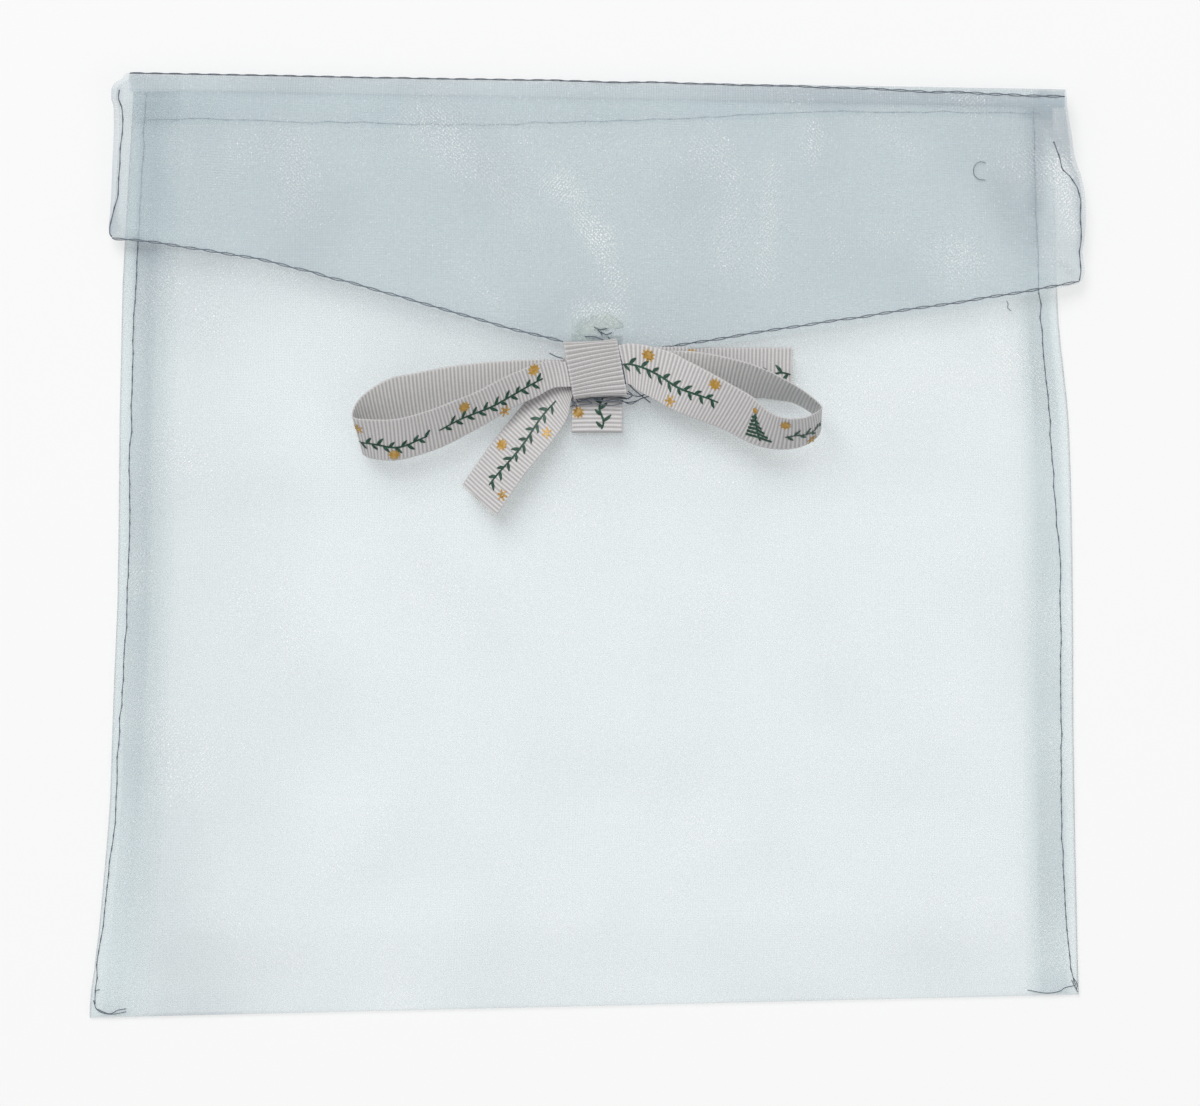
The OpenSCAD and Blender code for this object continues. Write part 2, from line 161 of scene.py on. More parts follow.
def spread(count: int, bunch: float) -> Array:
    """Places from -1 to 1 that stand closer together towards both ends."""
    half = math.pi / 2 * bunch
    return np.sin(np.linspace(-1, 1, count) * math.pi / 2 * bunch) / math.sin(half)


def grid_faces(
    rows: int, cols: int, closed_rows: bool = False, closed_cols: bool = False
) -> list[tuple[int, ...]]:
    """Faces of a grid of points that is stored row by row.

    Args:
        rows: Number of rows.
        cols: Number of columns.
        closed_rows: Whether the last row joins the first one.
        closed_cols: Whether the last column joins the first one.

    Returns:
        Four point numbers for each face.
    """
    return [
        tuple(
            r % rows * cols + c % cols
            for r, c in ((row, col), (row, col + 1), (row + 1, col + 1), (row + 1, col))
        )
        for row in range(rows if closed_rows else rows - 1)
        for col in range(cols if closed_cols else cols - 1)
    ]


def make_piece(
    name: str,
    points: Array,
    faces: Sequence[Sequence[int]],
    material: Material,
    cloth_uv: Optional[Array] = None,
    marks: Optional[dict[str, Array]] = None,
) -> Piece:
    """Makes a mesh object at the origin from points in millimetres.

    Args:
        name: Name of the piece.
        points: One row of X, Y and Z for each point.
        faces: Point numbers of each face.
        material: Finish of the piece.
        cloth_uv: Place of each point on the flat cloth, in millimetres.
        marks: Values for each point, by attribute name.

    Returns:
        The new object.
    """
    mesh = bpy.data.meshes.new(name)
    mesh.from_pydata((np.asarray(points) * MM).tolist(), [], [list(face) for face in faces])
    mesh.polygons.foreach_set("use_smooth", [True] * len(mesh.polygons))
    if cloth_uv is not None:
        corner_points = np.zeros(len(mesh.loops), dtype=np.int64)
        mesh.loops.foreach_get("vertex_index", corner_points)
        layer = mesh.uv_layers.new(name="cloth")
        layer.data.foreach_set("uv", np.asarray(cloth_uv)[corner_points].astype(np.float32).ravel())
    for mark, values in (marks or {}).items():
        attribute = mesh.attributes.new(mark, "FLOAT", "POINT")
        attribute.data.foreach_set("value", np.asarray(values, dtype=np.float32).ravel())
    mesh.materials.append(material)
    mesh.update()
    piece = bpy.data.objects.new(name, mesh)
    bpy.context.scene.collection.objects.link(piece)
    return piece


@dataclass
class MeshBag:
    """Points and faces gathered from several shapes that make one piece.

    Attributes:
        points: Arrays of points, in millimetres.
        faces: Faces, by point number in the whole bag.
        count: Number of points so far.
    """

    points: list[Array] = field(default_factory=list)
    faces: list[tuple[int, ...]] = field(default_factory=list)
    count: int = 0

    def add(self, points: Array, faces: Sequence[Sequence[int]]) -> None:
        """Adds one shape.

        Args:
            points: Its points.
            faces: Its faces, by point number in the shape.
        """
        self.faces += [tuple(i + self.count for i in face) for face in faces]
        self.points.append(np.asarray(points, dtype=float))
        self.count += len(points)

    def tube(self, line: Array, radius: object, sides: int = 6) -> None:
        """Adds a closed tube along a line.

        Args:
            line: Points of its centre line.
            radius: Radius, or one for each point.
            sides: Number of sides.
        """
        line = np.asarray(line, dtype=float)
        ahead = units(np.gradient(line, axis=0))
        upright = np.where(np.abs(ahead[:, 2:3]) > 0.9, [[1.0, 0, 0]], [[0, 0, 1.0]])
        side = units(np.cross(ahead, upright))
        up = np.cross(side, ahead)
        turns = (np.arange(sides) * 2 * math.pi / sides)[None, :, None]
        reach = np.broadcast_to(radius, len(line))[:, None, None]
        rings = line[:, None] + reach * (np.cos(turns) * side[:, None] + np.sin(turns) * up[:, None])
        last = len(line) - 1
        caps = [tuple(range(sides - 1, -1, -1)), tuple(last * sides + k for k in range(sides))]
        self.add(rings.reshape(-1, 3), grid_faces(last + 1, sides, closed_cols=True) + caps)

    def piece(self, name: str, material: Material) -> Piece:
        """Makes the gathered shapes one piece."""
        return make_piece(name, np.concatenate(self.points), self.faces, material)


def settle(
    piece: Piece, body: Optional[Body], nodes: Sequence[str] = ()
) -> Piece:
    """Gives a piece its body and hides the nodes that it stands for.

    Args:
        piece: The piece.
        body: Body to ride on, or None to leave it unattached.
        nodes: Names of the solids that it replaces.

    Returns:
        The same piece.
    """
    if body is not None:
        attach(piece, body.value)
    if nodes:
        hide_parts(*nodes)
    LOG.info("%s: %d faces", piece.name, len(piece.data.polygons))
    return piece


def new_material(name: str) -> tuple[Material, NodeTree, Node]:
    """Makes a material of that name and gives it with its node tree and its Principled shader."""
    material = bpy.data.materials.new(name)
    material.use_nodes = True
    return material, material.node_tree, material.node_tree.nodes["Principled BSDF"]


def mottled(tree: NodeTree, scale: float, low: float, high: float, tones: Sequence[str]) -> Socket:
    """Colour that changes between two tones from bit to bit of the object.

    Args:
        tree: Node tree to add it to.
        scale: Scale of the noise, in turns for each metre.
        low: Noise level of the first tone.
        high: Noise level of the second tone.
        tones: Both tones.

    Returns:
        The socket that gives the colour.
    """
    place = add_node(tree, "TexCoord").outputs["Object"]
    noise = add_node(tree, "TexNoise", {"Vector": place, "Scale": scale, "Detail": 2.0})
    share = add_node(tree, "MapRange", {0: noise, 1: low, 2: high})
    first, second = (linear(tone) for tone in tones)
    return add_node(tree, "Mix", {0: share, 6: first, 7: second}, data_type="RGBA").outputs[2]


# ---- Finishes


@dataclass(frozen=True)
class OrganzaFinish:
    """Nylon organza, plain woven from fine twisted yarn and heat set.

    It is sheer and crisp. The eye gets a fine square grid, faint streaks where a yarn is thicker,
    and patches of white glints where the bright yarn catches the light, painted as highlights in
    the yarn's colour and cover. The real yarns stand about 0.2 mm apart, which is too fine to show,
    so the grid is drawn coarser.

    Attributes:
        name: Name of the material.
        yarn: Colour of the yarn.
        cover: Share of the surface that the yarn covers.
        dense_and_shade_cover: Extra share where layers lie together, as in a turned edge, and where
            shade is painted, as below the flap and the bow.
        dense_and_shade_yarn: Colour of the yarn there, which also paints that shade.
        glint: Colour of the yarn where it catches the light.
        pitch: Distance between the drawn yarns, in millimetres.
        grid_depth: How much the cover changes between a yarn and a gap.
        grid_mean: Mean of the grid, from which the cover is measured.
        wander: How far the yarns wander, in millimetres.
        streaks: Scales of the noise for thick and thin yarns, one for each way of the weave.
        streak_depth: How much the cover changes along them.
        soft_depth: How much soft patches change, as a share of a turned edge.
        hatch: Distance between the lines of glints, in millimetres.
        glint_level: Noise level above which a patch glints.
        glint_range: Further rise of the noise until it glints in full.
        glint_depth: How bright the glints are.
        speck: Bits of the hatching: scale of the noise, share that the hatching adds to it, and
            the levels at which a bit shows and is full.
        spark: Single sparks, given in the same way.
        turn: Turn of the weave, in degrees.
    """

    name: str
    yarn: str
    cover: float
    dense_and_shade_cover: float
    dense_and_shade_yarn: str
    glint: str = "#FFFFFF"
    pitch: float = 0.5
    grid_depth: float = 0.1
    grid_mean: float = 0.68
    wander: float = 1.6
    streaks: Sequence[Point] = ((2.2, 0.05, 1), (0.04, 1.9, 1))
    streak_depth: float = 0.06
    soft_depth: float = 0.8
    hatch: float = 0.85
    glint_level: float = 0.5
    glint_range: float = 0.3
    glint_depth: float = 0.3
    speck: Point = (2.9, 0.3, 0.72, 0.85)
    spark: Point = (2.2, 0.0, 0.77, 0.86)
    turn: float = 0.0

    def build(self) -> Material:
        """Builds the material.

        Returns:
            The material.
        """
        material, tree, shader = new_material(self.name)
        cloth = add_node(tree, "UVMap", uv_map="cloth")
        turn = (0, 0, math.radians(self.turn))
        place = add_node(tree, "Mapping", {"Vector": cloth, "Rotation": turn})
        drift = add_node(
            tree, "TexNoise", {"Vector": place, "Scale": 0.05, "Detail": 0.0},
            noise_dimensions="2D",
        ).outputs["Color"]
        drifted = add_node(
            tree, "VectorMath", {0: drift, 1: (self.wander, self.wander, 0), 2: place},
            operation="MULTIPLY_ADD",
        )
        axes = add_node(tree, "SeparateXYZ", {0: drifted}).outputs
        yarns = {i: self._wave(tree, axes[i], self.pitch) for i in (0, 1)}
        weave = add_node(tree, "Math", yarns, operation="MAXIMUM")
        noises = {}
        for i, scale in enumerate(self.streaks):
            stretched = add_node(tree, "Mapping", {"Vector": place, "Scale": scale})
            noises[i] = add_node(
                tree, "TexNoise", {"Vector": stretched, "Scale": 1.0, "Detail": 0.0},
                noise_dimensions="2D",
            )
        streak = add_node(tree, "Math", noises, operation="ADD")
        soft = add_node(tree, "SeparateXYZ", {0: drift}).outputs[2]
        # Density of the cloth, which also carries painted shade.
        density_and_shading = add_node(tree, "Attribute", attribute_name="dense_and_shade").outputs["Fac"]
        dense_and_shade = add_node(
            tree, "Math", {0: soft, 1: self.soft_depth, 2: density_and_shading}, operation="MULTIPLY_ADD"
        )
        dense_and_shade = add_node(tree, "Math", {0: dense_and_shade, 1: self.soft_depth / 2}, operation="SUBTRACT")
        glint = self._glint(tree, place, axes)
        cover: object = self.cover - self.grid_depth * self.grid_mean - self.streak_depth
        for source, depth in (
            (weave, self.grid_depth), (streak, self.streak_depth), (dense_and_shade, self.dense_and_shade_cover),
            (glint, self.glint_depth),
        ):
            inputs = {0: source, 1: depth, 2: cover}
            cover = add_node(tree, "Math", inputs, operation="MULTIPLY_ADD")
        # Mixing towards the darker yarn paints shade where the density mark carries it; mixing
        # towards the glint colour paints highlights.
        colour: object = linear(self.yarn)
        for source, tone in ((dense_and_shade, self.dense_and_shade_yarn), (glint, self.glint)):
            inputs = {0: source, 6: colour, 7: linear(tone)}
            colour = add_node(tree, "Mix", inputs, data_type="RGBA").outputs[2]
        feed(shader, {
            "Base Color": colour,
            "Alpha": add_node(tree, "Clamp", {0: cover, 1: 0.02, 2: 1.0}),
            "Normal": add_node(
                tree, "Bump", {"Height": weave, "Strength": 0.15, "Distance": 0.0001}
            ),
            "Roughness": 0.48, "IOR": 1.53, "Sheen Weight": 0.25, "Sheen Roughness": 0.4,
        })
        return material

    def _wave(self, tree: NodeTree, along: object, period: float) -> Node:
        """Adds a wave along one direction.

        Args:
            tree: Node tree to add it to.
            along: Place along that direction.
            period: Distance between its crests.

        Returns:
            The node that gives the wave, from 0 to 1.
        """
        angle = add_node(tree, "Math", {0: along, 1: 2 * math.pi / period}, operation="MULTIPLY")
        wave = add_node(tree, "Math", {0: angle}, operation="COSINE")
        return add_node(tree, "Math", {0: wave, 1: 0.5, 2: 0.5}, operation="MULTIPLY_ADD")

    def _glint(self, tree: NodeTree, place: Node, axes: Sequence[Socket]) -> Node:
        """Adds painted highlights: broken bright hatching in patches, as where the yarns of two
        plies line up.

        Args:
            tree: Node tree to add it to.
            place: Place on the flat cloth.
            axes: Place along both sets of yarns.

        Returns:
            The node that gives the brightness.
        """
        patch = add_node(
            tree, "TexNoise", {"Vector": place, "Scale": 0.045, "Detail": 1.0},
            noise_dimensions="2D",
        )
        full = self.glint_level + self.glint_range
        level = add_node(tree, "MapRange", {0: patch, 1: self.glint_level, 2: full})
        placed = add_node(tree, "Attribute", attribute_name="glints").outputs["Fac"]
        level = add_node(tree, "Math", {0: level, 1: 0.6, 2: placed}, operation="MULTIPLY_ADD")
        other = add_node(tree, "SeparateXYZ", {0: patch.outputs["Color"]}).outputs[1]
        lean = add_node(tree, "MapRange", {0: other, 1: 0.47, 2: 0.53, 3: -1.0, 4: 1.0})
        across = add_node(tree, "Math", {0: axes[1], 1: lean, 2: axes[0]}, operation="MULTIPLY_ADD")
        wave = self._wave(tree, across, self.hatch)
        bits = []
        for scale, share, low, high in (self.speck, self.spark):
            noise = add_node(
                tree, "TexNoise", {"Vector": place, "Scale": scale, "Detail": 0.0},
                noise_dimensions="2D",
            )
            mixed = add_node(tree, "Math", {0: wave, 1: share, 2: noise}, operation="MULTIPLY_ADD")
            bits.append(add_node(tree, "MapRange", {0: mixed, 1: low, 2: high}))
        # Sparks and hatching both paint highlights into the yarn's colour and cover.
        bright = add_node(tree, "Math", {0: level, 1: 0.4}, operation="ADD")
        spark = add_node(tree, "Math", {0: bits[1], 1: bright}, operation="MULTIPLY")
        return add_node(tree, "Math", {0: level, 1: bits[0], 2: spark}, operation="MULTIPLY_ADD")


@dataclass(frozen=True)
class GrosgrainFinish:
    """Polyester grosgrain ribbon, woven with a fat rib from edge to edge and a satin selvage.

    The ribs are in the mesh. The finish adds the fine yarns along each rib, a soft satin shine and
    painted shade in the grooves and along the selvages.

    Attributes:
        name: Name of the material.
        face: Colour of the outer face.
        back: Colour of the inner face.
        yarn_scale: Scale of the fine yarns along the ribbon and across it.
        yarn_depth: How much they change the tone.
        groove_shade: How much shade is painted into the grooves.
    """

    name: str = "grosgrain_woven"
    face: str = "#DAD7D7"
    back: str = "#DFDDDC"
    yarn_scale: Point = (0.6, 7.0, 1)
    yarn_depth: float = 0.3
    groove_shade: float = 0.46

    def build(self) -> Material:
        """Builds the material.

        Returns:
            The material.
        """
        material, tree, shader = new_material(self.name)
        cloth = add_node(tree, "UVMap", uv_map="cloth")
        inner, groove = (
            add_node(tree, "Attribute", attribute_name=mark).outputs["Fac"]
            for mark in ("inner", "groove")
        )
        stretched = add_node(tree, "Mapping", {"Vector": cloth, "Scale": self.yarn_scale})
        yarn = add_node(tree, "TexNoise", {"Vector": stretched, "Scale": 1.0, "Detail": 3.0})
        tones = {0: inner, 6: linear(self.face), 7: linear(self.back)}
        side = add_node(tree, "Mix", tones, data_type="RGBA").outputs[2]
        shade: object = 1 - self.yarn_depth / 2
        # Painted shade: darker where the groove mark is high, in the grooves, along the selvages and
        # over the knot's band.
        for source, depth in ((yarn, self.yarn_depth), (groove, -self.groove_shade)):
            inputs = {0: source, 1: depth, 2: shade}
            shade = add_node(tree, "Math", inputs, operation="MULTIPLY_ADD")
        feed(shader, {
            "Base Color": add_node(
                tree, "VectorMath", {0: side, "Scale": shade}, operation="SCALE"
            ),
            "Normal": add_node(
                tree, "Bump", {"Height": yarn, "Strength": 0.25, "Distance": 0.0001}
            ),
            "Roughness": 0.5, "IOR": 1.54, "Sheen Weight": 0.2,
        })
        return material


@dataclass(frozen=True)
class ThreadFinish:
    """Spun polyester yarn, dull and slightly hairy, so its tone changes from bit to bit. The sewing
    thread is dyed grey blue, and the ribbon's loose yarns are nearly white.

    Attributes:
        name: Name of the material.
        light: Lighter tone.
        dark: Darker tone.
    """

    name: str = "polyester_thread_spun"
    light: str = "#707A88"
    dark: str = "#444C57"

    def build(self) -> Material:
        """Builds the material.

        Returns:
            The material.
        """
        material, tree, shader = new_material(self.name)
        colour = mottled(tree, 900.0, 0.0, 1.0, (self.light, self.dark))
        feed(shader, {"Base Color": colour, "Roughness": 0.7})
        return material


@dataclass(frozen=True)
class PrintFinish:
    """Ink printed onto the ribs. It is thin, so it looks a little worn in small patches.

    Attributes:
        name: Name of the material.
        ink: Colour where the ink is full.
        worn: Colour where it is thin.
        metallic: How much it shines like metal.
        roughness: Roughness of the ink.
    """

    name: str
    ink: str
    worn: str
    metallic: float
    roughness: float

    def build(self) -> Material:
        """Builds the material.

        Returns:
            The material.
        """
        material, tree, shader = new_material(self.name)
        colour = mottled(tree, 1500.0, 0.45, 0.75, (self.ink, self.worn))
        feed(shader, {"Base Color": colour, "Metallic": self.metallic, "Roughness": self.roughness})
        return material


@dataclass
class Finishes:
    """All finishes of the envelope, built once."""

    pocket: Material = field(init=False)
    pocket_back: Material = field(init=False)
    flap: Material = field(init=False)
    lining: Material = field(init=False)
    ribbon: Material = field(init=False)
    thread: Material = field(init=False)
    yarn: Material = field(init=False)
    green: Material = field(init=False)
    gold: Material = field(init=False)

    def __post_init__(self) -> None:
        """Builds the materials."""
        # The pocket's darker yarn colour also paints the shadow below the flap and the bow.
        pocket = dict(
            yarn="#E0EEF1", cover=0.245, dense_and_shade_cover=0.11, dense_and_shade_yarn="#9FB0BA", grid_depth=0.07,
            streak_depth=0.035, soft_depth=0.35, glint_level=0.42,
        )
        flap = dict(
            yarn="#C4D4DA", cover=0.34, dense_and_shade_cover=0.08, dense_and_shade_yarn="#B0BEC6", glint_level=0.53,
            glint_depth=0.22,
        )
        self.pocket = OrganzaFinish("organza_woven_front", **pocket).build()
        self.pocket_back = OrganzaFinish("organza_woven_back", turn=1.2, **pocket).build()
        self.flap = OrganzaFinish("organza_woven_flap", turn=-0.6, **flap).build()
        self.lining = OrganzaFinish("organza_woven_lining", turn=1.4, **flap).build()
        self.ribbon = GrosgrainFinish().build()
        self.thread = ThreadFinish().build()
        self.yarn = ThreadFinish("polyester_yarn_frayed", "#FBFDF8", "#C9D2C2").build()
        self.green = PrintFinish("ink_printed_green", "#0B3C2B", "#2F5F4C", 0.0, 0.5).build()
        self.gold = PrintFinish("ink_printed_gold", "#B58A38", "#D4B473", 0.2, 0.5).build()


# ---- Shapes shared by the pieces


@dataclass
class Outline:
    """Places and heights that the pocket and the flap share.

    Attributes:
        pocket_h: Height of the pocket along the centre line.
        fold_lean: Lean of the fold line, in degrees.
        base_lean: Lean of the base line, in degrees.
        fold_z: Height of the hinge.
        back_r: Radius of the fold where the cloth leaves the back.
        outer_r: Radius of the outer ply over the fold.
        lining_r: Radius of the lining over the fold.
        front_z: Height of the front's plateau.
        seam_z: Height of the front at its seams.
        seam_share: Share of the way to the side where the front has come down to its seam.
        plateau_share: Share of the way to the side up to which the front is level.
        base_share: Share of the way down where the front has come down to the base.
        base_slope: Share of the way down over which it does so.
        back_z: Height of the back.
        left_side: Left side of the pocket, X by share of the way down from the mouth.
        right_side: Right side of the pocket.
    """

    pocket_h: float = 184.9
    fold_lean: float = 1.0
    base_lean: float = 1.34
    fold_z: float = 3.425
    back_r: float = 3.275
    outer_r: float = 3.525
    lining_r: float = 3.025
    front_z: float = 5.45
    seam_z: float = 1.25
    seam_share: float = 0.9695
    plateau_share: float = 0.87
    base_share: float = 0.99
    base_slope: float = 0.09
    back_z: float = 0.15
    left_side: Table = (
        (0, -91.2), (0.1, -92.3), (0.21, -93.4), (0.36, -94.0), (0.48, -94.2), (0.55, -94.4),
        (0.6, -94.8), (0.65, -95.2), (0.7, -95.5), (0.765, -95.9), (0.81, -96.5), (0.84, -97.0),
        (0.87, -97.5), (0.91, -98.2), (0.93, -98.7), (0.95, -99.1), (0.97, -99.7), (0.985, -99.9),
        (1, -100.0),
    )
    right_side: Table = (
        (0, 92.4), (0.2, 93.3), (0.24, 93.6), (0.27, 94.1), (0.3, 94.7), (0.33, 95.3), (0.36, 95.7),
        (0.42, 96.1), (0.5, 96.4), (0.6, 96.55), (0.7, 96.6), (0.81, 96.9), (0.89, 97.2),
        (0.95, 97.4), (1, 97.7),
    )

    def fold_y(self, x: object) -> Array:
        """Outermost line of the fold."""
        return self.pocket_h / 2 - np.asarray(x) * math.tan(math.radians(self.fold_lean))

    def round_y(self, x: object) -> Array:
        """Line where the fold's round begins, which is the mouth's edge too."""
        return self.fold_y(x) - self.outer_r - self.back_z

    def base_y(self, x: object) -> Array:
        """Line of the base fold."""
        return -self.pocket_h / 2 + np.asarray(x) * math.tan(math.radians(self.base_lean))

    def down_y(self, x: object, down: object) -> Array:
        """Y at a share of the way down from the mouth to the base."""
        return self.round_y(x) + (self.base_y(x) - self.round_y(x)) * down

    def side_x(self, side: int, down: object) -> Array:
        """Left side of the pocket for -1 and right side for 1, by the share of the way down."""
        return look_up(self.left_side if side < 0 else self.right_side, down)

    def front_height(self, share: object, down: object) -> Array:
        """Height of the front panel's cloth.

        Args:
            share: Share of the way from the centre line to the side.
            down: Share of the way down from the mouth.

        Returns:
            Height in millimetres.
        """
        slope = self.seam_share - self.plateau_share
        rise = smooth((self.seam_share - np.abs(share)) / slope)
        fall = smooth((self.base_share - np.asarray(down)) / self.base_slope)
        return self.seam_z + (self.front_z - self.seam_z) * rise * fall


def waves(x: Array, y: Array, seed: int, size: float, depth: float, count: int = 7) -> Array:
    """Soft low swells of handled cloth.

    Args:
        x: Places across.
        y: Places along.
        seed: Picks the pattern.
        size: Shortest length of a swell.
        depth: Half the height between the lowest and highest swell.
        count: Number of swells that are added up.

    Returns:
        Height of the swell at each place.
    """
    pick = np.random.default_rng(seed)
    total = np.zeros(np.broadcast(x, y).shape)
    for _ in range(count):
        turn = pick.uniform(0, math.pi)
        length = size * pick.uniform(1.0, 2.6)
        phase = pick.uniform(0, 2 * math.pi)
        total += np.sin(2 * math.pi * (x * math.cos(turn) + y * math.sin(turn)) / length + phase)
    return total * depth / math.sqrt(count)


@dataclass
class ClothGrid:
    """Rows of points of one cloth, with what belongs to each point.

    Attributes:
        rows: Points of each row.
        flat: Places of each row on the flat cloth.
        dense_and_shade: Density of each row, with any painted shade.
    """

    rows: list[Array] = field(default_factory=list)
    flat: list[Array] = field(default_factory=list)
    dense_and_shade: list[Array] = field(default_factory=list)

    def add(self, points: Array, across: object, along: object, dense_and_shade: object = ()) -> None:
        """Adds a row.

        Args:
            points: Its points.
            across: Their places across the flat cloth.
            along: Their places along it.
            dense_and_shade: Density of the cloth at each point, with any painted shade.
        """
        self.rows.append(points)
        self.flat.append(np.stack(np.broadcast_arrays(across, along), axis=1))
        self.dense_and_shade.append(np.asarray(dense_and_shade))

    def points(self) -> Array:
        """All points, row by row."""
        return np.concatenate(self.rows)

    def piece(
        self, name: str, material: Material, marks: dict[str, Array], turned: bool = True
    ) -> Piece:
        """Makes the rows one piece.

        Args:
            name: Name of the piece.
            material: Its finish.
            marks: Values for each point, by attribute name.
            turned: Whether the faces are turned over.

        Returns:
            The piece.
        """
        faces = grid_faces(len(self.rows), len(self.rows[0]))
        if turned:
            faces = [face[::-1] for face in faces]
        return make_piece(name, self.points(), faces, material, np.concatenate(self.flat), marks)


# ---- Stitching


@dataclass
class Stitching:
    """Machine stitching along a line on the cloth.

    Attributes:
        kind: Lock stitch or chain stitch.
        pitch: Length of one stitch.
        radius: Radius of the thread.
        wander: How far the line strays to the side.
        seed: Picks how it strays.
        loop_w: Half the width of a chain stitch's loop.
        loop_share: Share of a chain stitch that its loop takes.
        steps: Points for each stitch.
    """

    kind: Stitch
    pitch: float
    radius: float
    wander: float
    seed: int
    loop_w: float = 0.2
    loop_share: float = 0.78
    steps: int = 10

    def sew(self, bag: MeshBag, line: Array, up: object = (0.0, 0.0, 1.0)) -> None:
        """Adds the stitches to a bag.

        Args:
            bag: Bag to add them to.
            line: Points on the cloth that the stitching follows.
            up: Direction away from the cloth, or one for each point.
        """
        up = np.broadcast_to(up, line.shape)
        lengths = np.concatenate([[0], np.cumsum(np.linalg.norm(np.diff(line, axis=0), axis=1))])
        count = max(1, round(lengths[-1] / self.pitch))
        at = np.linspace(0, lengths[-1], count * self.steps + 1)
        spot = np.stack([np.interp(at, lengths, line[:, k]) for k in range(3)], axis=1)
        lift = units(np.stack([np.interp(at, lengths, up[:, k]) for k in range(3)], axis=1))
        side = np.cross(lift, units(np.gradient(spot, axis=0)))
        pick = np.random.default_rng(self.seed)
        stray = np.interp(at, np.linspace(0, lengths[-1], count + 1), pick.normal(0, 1, count + 1))
        spot = spot + side * (stray * self.wander)[:, None]
        turn = np.arange(len(at)) % self.steps / self.steps
        if self.kind is Stitch.LOCK:
            arch = np.abs(np.sin(math.pi * turn)) ** 0.6
            height = self.radius * (1.5 * arch - 0.2)
            bag.tube(spot + lift * height[:, None], self.radius * (1.5 - 0.75 * arch))
            return
        share = self.loop_share
        swell = np.where(turn < share, np.abs(np.sin(math.pi * turn / share)) ** 0.7, 0)
        for strand in (-1, 1):
            height = self.radius * (1.0 + 0.5 * swell + 0.2 * strand)
            offset = strand * (self.loop_w * swell + 0.25 * self.radius)
            bag.tube(spot + side * offset[:, None] + lift * height[:, None], self.radius, 5)


def wisp(points: Sequence[Point], count: int = 16) -> Array:
    """Smooth line through a few points, for a loose end of thread.

    Args:
        points: Points that it passes through.
        count: Number of points to give back.

    Returns:
        Points along the line.
    """
    given = np.asarray(points, dtype=float)
    padded = np.vstack([2 * given[0] - given[1], given, 2 * given[-1] - given[-2]])
    spans = len(given) - 1
    at = np.linspace(0, spans - 1e-9, count)
    return np.array([catmull(padded, int(t), t - int(t)) for t in at])


def catmull(rows: Array, span: int, t: float) -> Array:
    """Point of a Catmull-Rom spline between rows span + 1 and span + 2."""
    a, b, c, d = rows[span : span + 4]
    return 0.5 * (
        2 * b + (c - a) * t + (2 * a - 5 * b + 4 * c - d) * t**2 + (3 * b - a - 3 * c + d) * t**3
    )


def streaks(points: Array, rows: Sequence[Point]) -> Array:
    """Sum of soft streaks.

    Args:
        points: Points to read it at.
        rows: X and Y of both ends of each streak, its half width and its depth.

    Returns:
        The value at each point.
    """
    x, y = points[:, 0], points[:, 1]
    value = np.zeros_like(x)
    for x0, y0, x1, y1, half, depth in rows:
        along = np.array([x1 - x0, y1 - y0])
        share = np.clip(((x - x0) * along[0] + (y - y0) * along[1]) / (along @ along), 0, 1)
        gap = np.hypot(x - x0 - share * along[0], y - y0 - share * along[1])
        value = value + depth * np.exp(-((gap / half) ** 2))
    return value


# ---- Pocket


